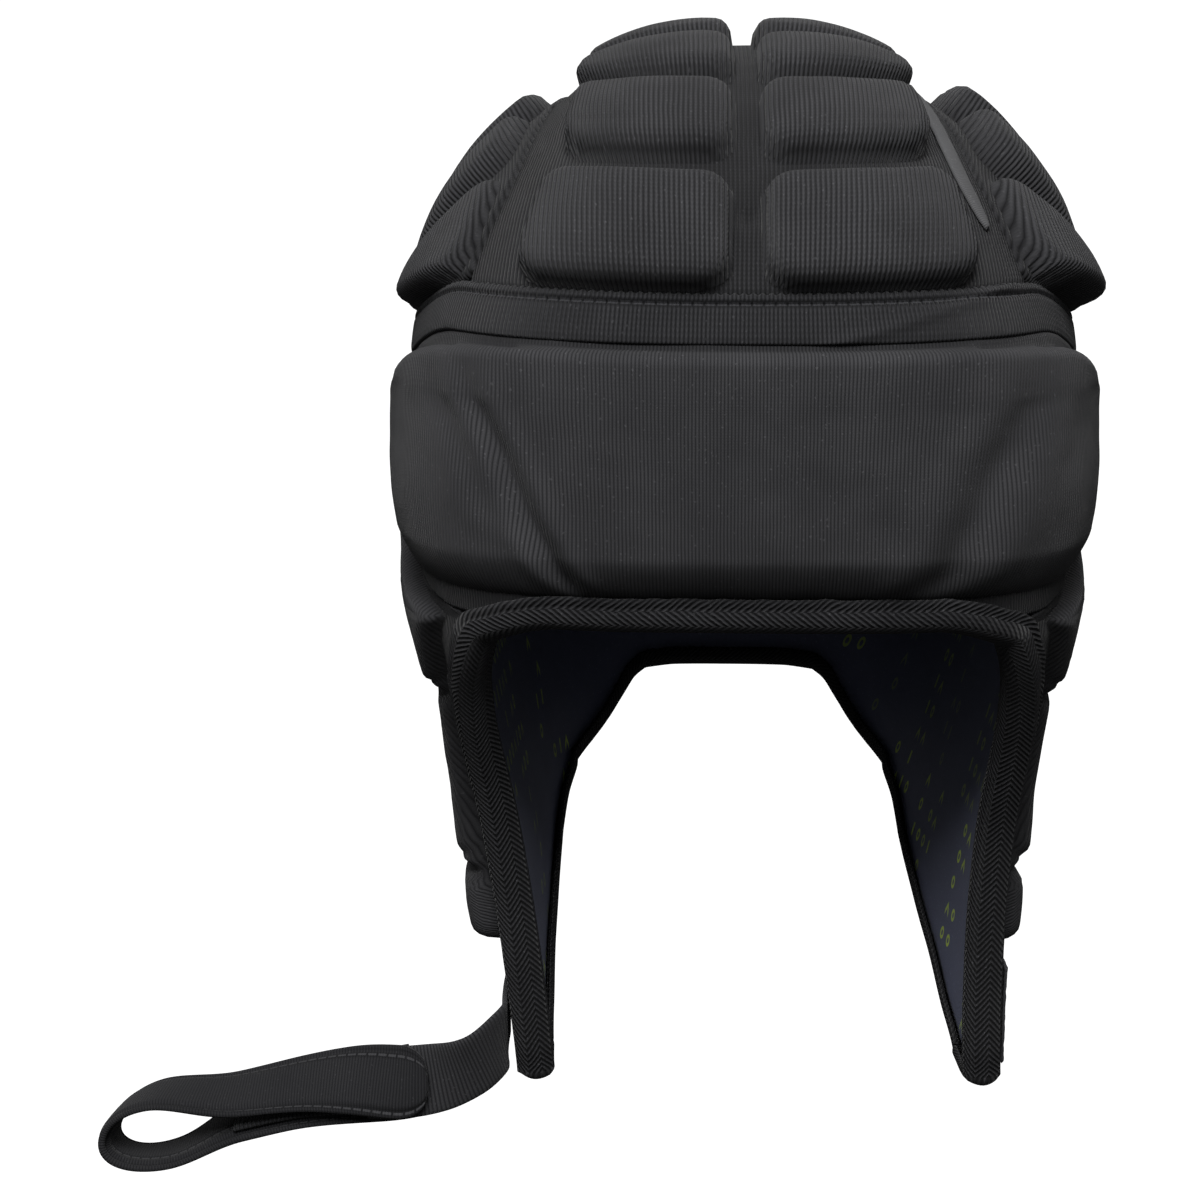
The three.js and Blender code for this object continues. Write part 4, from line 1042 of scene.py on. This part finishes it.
# top, bottom, from and to are shares down and across the panel, then the rise in millimetres on the
# wearer's right and on the left, whose foam is pressed flatter. The last two rows are the foam that is left
# under the creases between the pads.
EAR_PADS = [
    (0.045, 0.405, 0.1, 0.52, 5.0, 4.3),
    (0.045, 0.405, 0.55, 0.97, 5.0, 4.3),
    (0.42, 0.69, 0.1, 0.52, 7.6, 6.2),
    (0.42, 0.69, 0.55, 0.97, 7.6, 6.2),
    (0.705, 0.815, 0.1, 0.52, 10.0, 8.0),
    (0.045, 0.69, 0.1, 0.97, 3.4, 3.0),
    (0.42, 0.815, 0.1, 0.52, 6.2, 4.0),
]
# share down the panel, how full the foam is there: each pad is fuller towards its foot
EAR_SWELL = np.array([(0, 0.8), (0.405, 1.3), (0.42, 0.55), (0.69, 1.5), (0.705, 1.05), (1, 1.05)])
ear_row_edges = sorted({edge for pad in EAR_PADS for edge in pad[:2]} | {0, 1})
ear_column_edges = sorted({edge for pad in EAR_PADS for edge in pad[2:4]} | {0, 1})
ear_rows = stations(0, 1, ear_row_edges, 0.0035, 0.011, 0.03)
ear_columns = stations(0, 1, ear_column_edges, 0.006, 0.02, 0.05)


def ear_base(side):
    """The grid of an ear panel: side is +1 on the wearer's left."""
    level = -ear_rows[:, None] * FLAP_DROP
    front, rear = ear_edge(level, 1), ear_edge(level, 2) - SEAM_ANGLE
    angle = front + (rear - front) * ear_columns[None]
    top = band_bottom(angle) + HEM_TUCK
    height = top + (level - top) * np.minimum(ear_rows[:, None] / EAR_LEVEL_DROP, 1)
    return form_point(side * angle, height)


def pads_relief(base, rows, columns, pads, side=0):
    """The relief of a panel with pads given by their edges down and across it; side is +1 on the left."""
    down, across = lengths(base, 0), lengths(base, 1)
    relief = np.zeros(down.shape)
    for top, bottom, first, last, *rises in pads:
        rise = rises[max(side, 0)] if len(rises) > 1 else rises[0]
        along = edge_distance(down, rows, (top, bottom), 0)
        aside = edge_distance(across, columns, (first, last), 1)
        relief = np.maximum(relief, rise * pad_height(along, aside, EAR_PAD_CORNER, SOFT_WALL))
    return relief


EAR_COVERS = ((-1, "ear_cover_right", "ear_panel_right"), (1, "ear_cover_left", "ear_panel_left"))
for side, name, node in EAR_COVERS:
    base = ear_base(side)
    relief = pads_relief(base, ear_rows, ear_columns, EAR_PADS, side)
    relief = relief * np.interp(ear_rows, *EAR_SWELL.T)[:, None]
    cover = padded_panel(name, base, relief, 0.4, 6.0 + side)
    dress(cover, node, fine_knit)

# %% [markdown]
# ## Nape
# The panel over the back of the head has three pads in each of two rows, and its lower edge follows the
# arch of the rim.

# %% Nape
# plan angle, drop as a share of the flaps' drop
NAPE_EDGE = np.array(
    [
        (125, 0.72),
        (129, 0.711),
        (133, 0.701),
        (137, 0.688),
        (141, 0.67),
        (146, 0.64),
        (150, 0.612),
        (154, 0.597),
        (162, NAPE_DROP / FLAP_DROP),
        (180, NAPE_DROP / FLAP_DROP),
    ]
)
NAPE_SPAN = 180 - NAPE_EDGE[0, 0] - SEAM_ANGLE
NAPE_PAD_RISE = 7.5
NAPE_PADS = [
    (top, bottom, first, last, NAPE_PAD_RISE)
    for top, bottom in ((0.03, 0.46), (0.51, 0.89))
    for first, last in ((-0.96, -0.36), (-0.31, 0.31), (0.36, 0.96))
]
nape_rows = stations(0, 1, [0, 0.03, 0.46, 0.51, 0.89, 1], 0.0055, 0.016, 0.04)
nape_columns = stations(-1, 1, [-1, -0.96, -0.36, -0.31, 0.31, 0.36, 0.96, 1], 0.009, 0.025, 0.06)


def rim_drop(angle):
    """How low the nape's rim lies at a plan angle, as a share of the flaps' drop."""
    return np.interp(angle, NAPE_EDGE[:, 0], NAPE_EDGE[:, 1])


around_nape = 180 - np.abs(nape_columns) * NAPE_SPAN
nape_top = band_bottom(around_nape) + HEM_TUCK
nape_low = -rim_drop(around_nape) * FLAP_DROP
nape_height = nape_top + (nape_low - nape_top) * nape_rows[:, None]
nape_base = form_point(180 + nape_columns[None] * NAPE_SPAN, nape_height)
nape_relief = pads_relief(nape_base, nape_rows, nape_columns, NAPE_PADS)
nape = padded_panel("nape_cover", nape_base, nape_relief, 0.4, 9.0)
dress(nape, "nape_panel", fine_knit)

# %% [markdown]
# ## Tapes
# Bands, bindings and straps are all narrow outlines carried along a line. The outline is a few corners
# rounded twice by cutting them, and the grid's last column is merged with its first to close the tape.

# %% Outlines and sweeps
def cut_corners(outline, times=2):
    """Rounds a closed outline by cutting each corner at a quarter of its sides."""
    for _ in range(times):
        after = np.roll(outline, -1, axis=0)
        outline = np.stack([0.75 * outline + 0.25 * after, 0.25 * outline + 0.75 * after], axis=1)
        outline = outline.reshape(-1, outline.shape[-1])
    return outline


def closed(points):
    """A grid whose columns return to the first one."""
    return np.concatenate([points, points[:, :1]], axis=1)


def swept(name, points, girth_start=0.0):
    """A closed tape from rings of points; its weave runs along it and round its outline."""
    ends = [np.broadcast_to(ring.mean(axis=0), ring.shape) for ring in (points[0], points[-1])]
    points = closed(np.concatenate([ends[0][None], points, ends[1][None]]))
    middle = lengths(points.mean(axis=1)[:, None], 0)
    around = lengths(points, 1)
    around = np.broadcast_to(around[len(around) // 2], around.shape) + girth_start
    weave = np.stack([np.broadcast_to(middle, around.shape), around], axis=-1)
    return sewn_grid(name, points, weave)


# %% Band
PICOT_PITCH = 1.9
PICOT_DEPTH = 0.24
# plan angles at which a slanting wrinkle leaves the lower edge and reaches the upper one, and its height
WRINKLE = (14.0, 42.0)
WRINKLE_HEIGHT = 0.7
WRINKLE_WIDTH = 1.3
band_angles = np.linspace(-180, 180, 1441)
# down the band from its upper edge, and out from its inner side
BAND_OUTLINE = np.array(
    [
        (0, 0.2),
        (0, 2.7),
        (1.3, 3.0),
        (1.8, 2.9),
        (2.1, 2.4),
        (2.4, 2.9),
        (3, 3.0),
        (5, 3.0),
        (7, 3.0),
        (8.4, 3.0),
        (9.5, 2.7),
        (9.5, 0.2),
    ]
)
outline = cut_corners(BAND_OUTLINE)
down, out = outline[:, 0], outline[:, 1]
ring = form_point(band_angles, band_top(band_angles))
ring_length = lengths(ring[:, None], 0)
edge_share = np.exp(-down / 0.9)
uneven = 1 + 0.6 * smooth_noise(ring, 6, 5.0)[:, None]
waves = PICOT_DEPTH * uneven * np.sin(2 * math.pi * ring_length / PICOT_PITCH) * edge_share
climb = (band_angles[:, None] - WRINKLE[0]) / (WRINKLE[1] - WRINKLE[0])
from_wrinkle = (down - BAND_WIDTH * (1 - climb)) / WRINKLE_WIDTH
wrinkle = WRINKLE_HEIGHT * np.exp(-(from_wrinkle**2)) * (out > 2)
sag = 0.35 * smooth_noise(ring, 30, 2.0)[:, None] + wrinkle
heights = band_top(band_angles)[:, None] - down + waves
base = form_point(band_angles[:, None], heights)
band_points = base + form_normal(base) * (GROUND_IN + out + sag)[..., None]
band_weave = np.stack(np.broadcast_arrays(ring_length, down[None]), axis=-1)
band = sewn_grid("band_elastic", closed(band_points), closed(band_weave))
dress(band, "brow_band", elastic_cloth)

# %% [markdown]
# ## Bindings
# A herringbone tape is folded over the rim, one leg outside and one inside. It is carried along the rim as
# a U-shaped outline: first down one flap, round the brow and down the other flap, then a second tape up
# the rear edges and round the nape. Its outer edge waves a little between the stitches.

# %% Rim path
BINDING_WIDTH = 6.2
BINDING_THICKNESS = 1.4
BINDING_TAPER = 0.45  # how much narrower the folded tape is down the flaps and round the nape
RIM_STEP = 0.9


def follow(path):
    """Even steps along a path of plan angles and heights, its corners rounded a little."""
    path = np.array(path, float)
    for _ in range(2):
        cut = np.stack([0.75 * path[:-1] + 0.25 * path[1:], 0.25 * path[:-1] + 0.75 * path[1:]], axis=1)
        path = np.concatenate([path[:1], cut.reshape(-1, 2), path[-1:]])
    length = lengths(form_point(path[:, 0], path[:, 1])[:, None], 0)[:, 0]
    at = np.arange(0, length[-1], RIM_STEP)
    return np.stack([np.interp(at, length, path[:, k]) for k in (0, 1)], axis=1)


def flap_edge(column, upper, lower):
    """An edge of a flap as plan angles and heights, from one level down to another."""
    heights = -FLAP_DROP * np.linspace(upper, lower, 90)
    return np.stack([ear_edge(heights, column), heights], axis=1)


brow_rim = [(angle, -BROW_DROP) for angle in (0, 9, 18, 26, 32)]
front_rim = np.concatenate([brow_rim, flap_edge(1, 1.09 * BROW, 1.0)])
# plan angles along the flap's tip and how far it hangs below the flap's corners
TIP_DIP = [(62, 0.6), (64.2, 1.0), (66.4, 0.6), (68.4, 0)]
TIP_SIDE = [(angle, -FLAP_DROP - dip) for angle, dip in TIP_DIP]
face_half = np.concatenate([front_rim, TIP_SIDE])
nape_rim = [(angle, -rim_drop(angle) * FLAP_DROP) for angle in np.arange(125.5, 180.1, 1.5)]
nape_half = np.concatenate([flap_edge(2, NAPE_EDGE[0, 1], 0.99)[::-1], nape_rim])


def both_sides(half, first_to_last):
    """A path over both sides of the head from its left half, which starts in the middle or ends there."""
    if first_to_last:
        return np.concatenate([(half * (-1, 1))[::-1], half[1:]])
    mirror = np.stack([360 - half[:, 0], half[:, 1]], axis=1)
    return np.concatenate([half, mirror[::-1][1:]])


def binding(name, path, slot_node, seed):
    """A tape folded over the rim."""
    path = follow(path)
    edge = form_point(path[:, 0], path[:, 1])
    tangent = np.gradient(edge, axis=0)
    normal = form_normal(edge)
    inward = np.cross(normal, tangent)
    inward /= np.linalg.norm(inward, axis=-1, keepdims=True)
    outside = GROUND_OUT + 2 * CLEARANCE
    inside = -CLEARANCE - 0.5
    thick = BINDING_THICKNESS
    corners = np.array(
        [
            (BINDING_WIDTH, outside),
            (BINDING_WIDTH + 0.3, outside + 0.8 * thick),
            (BINDING_WIDTH - 0.9, outside + thick),
            (BINDING_WIDTH - 1.9, outside + 0.75 * thick),
            (BINDING_WIDTH - 2.9, outside + thick),
            (0.4, outside + thick),
            (-CLEARANCE - thick, 0.72 * outside),
            (-CLEARANCE - thick, 0.2 * outside),
            (0, inside - thick),
            (BINDING_WIDTH, inside - thick),
            (BINDING_WIDTH, inside),
            (-CLEARANCE, inside),
            (-CLEARANCE, outside),
        ]
    )
    outline = cut_corners(corners)
    into, lift = outline[:, 0], outline[:, 1]
    ruffle = 0.6 * smooth_noise(edge, 3.0, seed) + 0.5 * smooth_noise(edge, 9, seed)
    outer_leg = np.clip((lift - outside) / thick, 0, 1) * np.clip(into / BINDING_WIDTH, 0, 1)
    low = np.clip(3 * (-edge[:, 2] - BROW_DROP) / (FLAP_DROP - BROW_DROP), 0, 1)
    narrow = 1 - BINDING_TAPER * low[:, None] * (into > 0)
    into = into[None] * narrow + ruffle[:, None] * outer_leg
    lift = lift[None] + 0.3 * smooth_noise(edge, 5, seed + 3)[:, None] * outer_leg
    moved = edge[:, None] + inward[:, None] * into[..., None]
    axis = moved * (0, 0, 1)
    base = cast_out(axis, moved - axis)
    points = base + form_normal(base) * lift[..., None]
    tape = swept(name, points)
    dress(tape, slot_node, binding_tape)


binding("face_tape", both_sides(face_half, True), "face_binding", 5.0)
binding("nape_tape", both_sides(nape_half, False), "nape_binding", 8.0)

# %% [markdown]
# ## Lining
# One thin smooth skin over the whole inside. Its grid is a fan from the top of the dome to the rim, with
# columns set by the rim's own points. The grid runs on over the rim and back up the outer side, so the
# skin is closed.

# %% Lining skin
TIP_MIDDLE = 64.5
RIM_SPREAD = 0.05
rim = np.concatenate([follow(front_rim)[::2], [(TIP_MIDDLE, -FLAP_DROP)], follow(nape_half)[::2]])
rim = rim[np.argsort(rim[:, 0])]
rim = rim[np.concatenate([[True], np.diff(rim[:, 0]) > RIM_SPREAD])]
rim = np.concatenate([rim, np.stack([360 - rim[::-1, 0], rim[::-1, 1]], axis=1)])
rim = rim[np.concatenate([[True], np.diff(rim[:, 0]) > RIM_SPREAD])]
rim = np.concatenate([rim, [(rim[0, 0] + 360, rim[0, 1])]])
dome = CROWN_RISE * np.sin(np.radians(np.linspace(90, 0, 26)))[:-1]
down_shares = np.linspace(0, 1, 46)
rim_angles = rim[:, 0][None]
lining_heights = np.concatenate(
    [np.broadcast_to(dome[:, None], (len(dome), rim.shape[0])), down_shares[:, None] * rim[:, 1][None]]
)
lining_base = form_point(np.broadcast_to(rim_angles, lining_heights.shape), lining_heights)
lining_outer = lining_base + form_normal(lining_base + (0, 0, -0.01)) * LINING_THICKNESS
rim_girth = lengths(form_point(rim[:, 0], 0 * rim[:, 0])[:, None], 0)[:, 0]
lining_weave = np.stack([np.broadcast_to(rim_girth[None], lining_heights.shape), lining_heights], axis=-1)
lining_points = np.concatenate([lining_base, lining_outer[::-1]])
lining = sewn_grid("lining_skin", lining_points, np.concatenate([lining_weave, lining_weave[::-1]]))
dress(lining, "lining", lining_cloth)

# %% [markdown]
# ## Strip and loop patch
# A smooth grey strip lies beside the wearer's left crown seam, narrow at both ends. The loop patch is sewn
# over the binding on the outside of the left flap's tip, where the strap closes.

# %% Seam strip
STRIP_ANGLES = (26, 64)
STRIP_WIDTH = 2.8
STRIP_THICKNESS = 1.0
STRIP_INSET = 4.5
strip_shares = np.linspace(0, 1, 90)
strip_angles = STRIP_ANGLES[0] + (STRIP_ANGLES[1] - STRIP_ANGLES[0]) * strip_shares
strip_across = np.linspace(-1, 1, 13)
strip_half = STRIP_WIDTH / 2 * np.maximum(np.sqrt(np.clip(1 - (2 * strip_shares - 1) ** 4, 0, 1)), 0.15)
aside = (seam_reach(strip_angles) - STRIP_INSET)[:, None] + strip_half[:, None] * strip_across
strip_base = crown_point(strip_angles[:, None], aside)
bow = 1 - strip_across[None] ** 2 * np.ones((len(strip_shares), 1))
strip_low = GROUND_OUT + CLEARANCE
strip_outer = strip_low + 0.3 + (STRIP_THICKNESS - 0.3) * np.sqrt(bow)
strip_inner = np.full(bow.shape, strip_low)
for side in (strip_outer, strip_inner):
    side[0], side[-1] = strip_low, strip_low
    side[:, 0], side[:, -1] = strip_low + 0.15, strip_low + 0.15
strip_weave = np.stack([lengths(strip_base, 0), lengths(strip_base, 1)], axis=-1)
strip = two_sided("strip_sewn", strip_base, strip_outer, strip_inner, strip_weave, merge_ends=False)
dress(strip, "seam_strip", strip_tape)

# %% Loop patch
OVER_BINDING = GROUND_OUT + BINDING_THICKNESS + 4 * CLEARANCE
PATCH_LENGTH = 27.0
PATCH_SPAN = 9.0
PATCH_BEHIND = 2.4  # degrees from the front edge of the flap
PATCH_AHEAD = 1.2  # degrees from its rear edge
PATCH_THICKNESS = 0.9
patch_low = -(FLAP_DROP - BINDING_THICKNESS - CLEARANCE)
patch_rows = np.linspace(0, 1, 60)
patch_columns = np.linspace(0, 1, 24)
patch_heights = patch_low + patch_rows[:, None] * PATCH_LENGTH
patch_front = ear_edge(patch_heights, 1) + PATCH_BEHIND
patch_rear = np.minimum(patch_front + PATCH_SPAN, ear_edge(patch_heights, 2) - PATCH_AHEAD)
patch_angles = patch_front + (patch_rear - patch_front) * patch_columns[None]
patch_base = form_point(patch_angles, np.broadcast_to(patch_heights, patch_angles.shape))
patch_outer = OVER_BINDING + PATCH_THICKNESS + 0.2 * smooth_noise(patch_base, 2.0, 4.0)
patch_inner = np.full(patch_outer.shape, OVER_BINDING)
for side in (patch_outer, patch_inner):
    side[0], side[-1] = OVER_BINDING + 0.3, OVER_BINDING + 0.3
    side[:, 0], side[:, -1] = OVER_BINDING + 0.3, OVER_BINDING + 0.3
patch_weave = np.stack([lengths(patch_base, 1), lengths(patch_base, 0)], axis=-1)
patch = two_sided("loop_pile", patch_base, patch_outer, patch_inner, patch_weave, merge_ends=False)
dress(patch, "loop_patch", loop_tape)

# %% [markdown]
# ## Chin strap
# Elastic webbing is sewn to the outside of the right flap and hangs free. Over its end a padded tab is
# folded back on itself, with a small gap at the fold, and a patch of hooks lies between its two layers.
# All three are tapes along one path, whose width turns from upright to lying.

# %% Strap path
STRAP_REACH = 95.5
STRAP_ON_FLAP = 12.0  # degrees of the plan that the sewn end covers
STRAP_LIFT = 10.5  # height of its middle over the flap's tip
STRAP_ROOM = 0.6
STRAP_WIDTH = 17.0
STRAP_THICKNESS = 1.5
# x, y and z as shares of the reach, tilt of the width in degrees, half distance of the tab's two layers
STRAP_PATH = np.array(
    [
        (0.0, 0.0, 0.0, 0, 0.03),
        (0.04, -0.04, -0.03, -10, 0.03),
        (0.09, -0.06, -0.055, -10, 0.03),
        (0.16, -0.07, -0.075, 4, 0.03),
        (0.25, -0.08, -0.085, 22, 0.03),
        (0.34, -0.08, -0.09, 40, 0.03),
        (0.48, -0.08, -0.11, 62, 0.031),
        (0.66, -0.08, -0.155, 76, 0.038),
        (0.86, -0.08, -0.208, 91, 0.082),
        (1.02, -0.08, -0.248, 99, 0.08),
    ]
)


def unit(vectors):
    """Vectors made one long."""
    return vectors / np.linalg.norm(vectors, axis=-1, keepdims=True)


def on_flap(share):
    """Where the webbing's middle lies on the outside of the right flap."""
    height = -FLAP_DROP + STRAP_LIFT + 0 * share
    base = form_point(-ear_edge(height, 1) - share * STRAP_ON_FLAP, height)
    return base + form_normal(base) * (OVER_BINDING + STRAP_ROOM + STRAP_THICKNESS / 2)


def strap_line(share):
    """The strap's middle beyond the flap."""
    path = np.stack([-share, read_table(STRAP_PATH, share, 1), read_table(STRAP_PATH, share, 2)], axis=-1)
    return on_flap(np.zeros(1))[0] + path * STRAP_REACH


def strap_wide(share, along):
    """The direction of the strap's width."""
    tilt = np.radians(read_table(STRAP_PATH, share, 3))
    wide = np.stack([0 * tilt, np.sin(tilt), np.cos(tilt)], axis=-1)
    return unit(wide - along * (wide * along).sum(axis=-1, keepdims=True))


def strap_frame(share):
    """The middle, width direction and face direction of the strap."""
    along = unit(strap_line(share + 0.01) - strap_line(share - 0.01))
    wide = strap_wide(share, along)
    return strap_line(share), wide, np.cross(along, wide)


def settle(values, times=6):
    """Evens out a line of values, its ends kept."""
    for _ in range(times):
        inner = (values[:-2] + 2 * values[1:-1] + values[2:]) / 4
        values = np.concatenate([values[:1], inner, values[-1:]])
    return values


def tape_rings(centre, wide, outline):
    """Rings of an outline, given across and through the tape, along a line."""
    along = unit(np.gradient(centre, axis=0))
    wide = unit(wide - along * (wide * along).sum(axis=-1, keepdims=True))
    face = np.cross(along, wide)
    across, through = outline[..., 0], outline[..., 1]
    return centre[:, None] + wide[:, None] * across[..., None] + face[:, None] * through[..., None]


# %% Webbing
WEBBING_END = 0.34  # where it ends inside the tab, as a share of the strap's reach
sewn = np.linspace(1, 0.02, 30)
free = np.linspace(0.03, WEBBING_END, 40)
webbing_line = settle(np.concatenate([on_flap(sewn), strap_line(free)]), 10)
free_wide = strap_frame(free)[1]
upright = np.broadcast_to(np.array((0.0, 0.0, 1.0)), (len(sewn), 3))
webbing_wide = settle(np.concatenate([upright, free_wide]), 10)
half, thin = STRAP_WIDTH / 2, STRAP_THICKNESS / 2
face_points = np.linspace(-half, half, 5)
webbing_outline = cut_corners(
    np.array([(across, -thin) for across in face_points] + [(across, thin) for across in face_points[::-1]])
)
outlines = np.broadcast_to(webbing_outline, (len(webbing_line), *webbing_outline.shape))
webbing_rings = tape_rings(webbing_line, webbing_wide, outlines)
webbing = swept("strap_webbing", webbing_rings)
dress(webbing, "chin_strap", webbing_knit)

# %% Tab
TAB_THICKNESS = 2.6
TAB_END = 0.19
TAB_FOLD = 0.86
TAB_ROUND = 7.0
TAB_START = 0.22  # where the outer layer begins, as a share of the strap's reach
OUTER_STEPS, INNER_STEPS, FOLD_STEPS = 80, 84, 40
TAB_SIDES = 41  # points across each face of the tab


def tab_middle(share, closing, side):
    """The middle of one layer of the folded tab."""
    centre, wide, face = strap_frame(share)
    spread = read_table(STRAP_PATH, share, 4) * STRAP_REACH * closing
    return centre + face * (side * spread)[:, None], wide


fold = np.linspace(0, math.pi, FOLD_STEPS)[1:-1]
outer_shares = np.linspace(TAB_START, TAB_FOLD, OUTER_STEPS)
inner_shares = np.linspace(TAB_FOLD, TAB_END, INNER_STEPS)
tab_shares = np.concatenate([outer_shares, TAB_FOLD + (1 - TAB_FOLD) * np.sin(fold), inner_shares])
tab_closing = np.concatenate([np.ones(OUTER_STEPS), np.abs(np.cos(fold)), np.ones(INNER_STEPS)])
tab_side = np.concatenate([np.ones(OUTER_STEPS), np.sign(np.cos(fold)), -np.ones(INNER_STEPS)])
tab_line, tab_wide = tab_middle(tab_shares, tab_closing, tab_side)
tab_line, tab_wide = settle(tab_line, 8), settle(tab_wide, 8)
tab_length = lengths(tab_line[:, None], 0)[:, 0]


def tab_outline():
    """The tab's outline at each station: padded between two stitched lines, thin at its edges."""
    share = np.concatenate([np.linspace(-1, 1, TAB_SIDES), np.linspace(1, -1, TAB_SIDES)[1:-1]])
    upper = np.concatenate([np.ones(TAB_SIDES), -np.ones(TAB_SIDES - 2)])
    lip = np.sqrt(np.clip(1 - np.abs(share) ** 10, 0, 1))
    stitched = np.exp(-(((np.abs(share) - TAB_STITCH) / 0.07) ** 2))
    full = 1 - 0.2 * share**2
    height = lip * (full * TAB_THICKNESS / 2 - 0.8 * stitched)
    from_end = tab_length[-1] - tab_length
    t = np.clip(from_end / TAB_ROUND, 0, 1)
    narrow = 0.3 + 0.7 * np.sqrt(1 - (1 - t) ** 2)
    end_seam = np.exp(-(((from_end - 2.2) / 0.7) ** 2))
    thick = 1 - 0.35 * end_seam - 0.4 * np.exp(-from_end / 0.8)
    wave = 1 + 0.12 * np.sin(tab_length / 5.5) * np.clip(from_end / 20, 0, 1)
    across = share[None] * TAB_WIDTH / 2 * narrow[:, None]
    return np.stack([across, upper * height * thick[:, None] * wave[:, None]], axis=-1)


tab = swept("tab_cover", tape_rings(tab_line, tab_wide, tab_outline()), -TAB_WIDTH / 2)
dress(tab, "strap_tab", tab_knit)

# %% Hooks
HOOK_WIDTH = 14.0
HOOK_THICKNESS = 0.8
HOOK_REACH = (0.4, 0.68)  # from and to, as shares of the strap's reach
HOOK_STEPS = 60
HOOK_SIDES = 15
hook_shares = np.linspace(*HOOK_REACH, HOOK_STEPS)
hook_inset = (TAB_THICKNESS + HOOK_THICKNESS) / 2 + CLEARANCE
centre, wide, face = strap_frame(hook_shares)
spread = read_table(STRAP_PATH, hook_shares, 4) * STRAP_REACH - hook_inset
hook_line = centre + face * spread[:, None]
half, thin = HOOK_WIDTH / 2, HOOK_THICKNESS / 2
across = np.linspace(-half, half, HOOK_SIDES)
hook_face = np.stack([across, np.full(HOOK_SIDES, -thin)], axis=1)
hook_back = np.stack([across[::-1], np.full(HOOK_SIDES, thin)], axis=1)
hook_outline = np.concatenate([hook_face, hook_back])
hook_outlines = np.broadcast_to(hook_outline, (HOOK_STEPS, *hook_outline.shape))
hooks = swept("hook_pile", tape_rings(hook_line, wide, hook_outlines))
dress(hooks, "hook_patch", hook_tape)
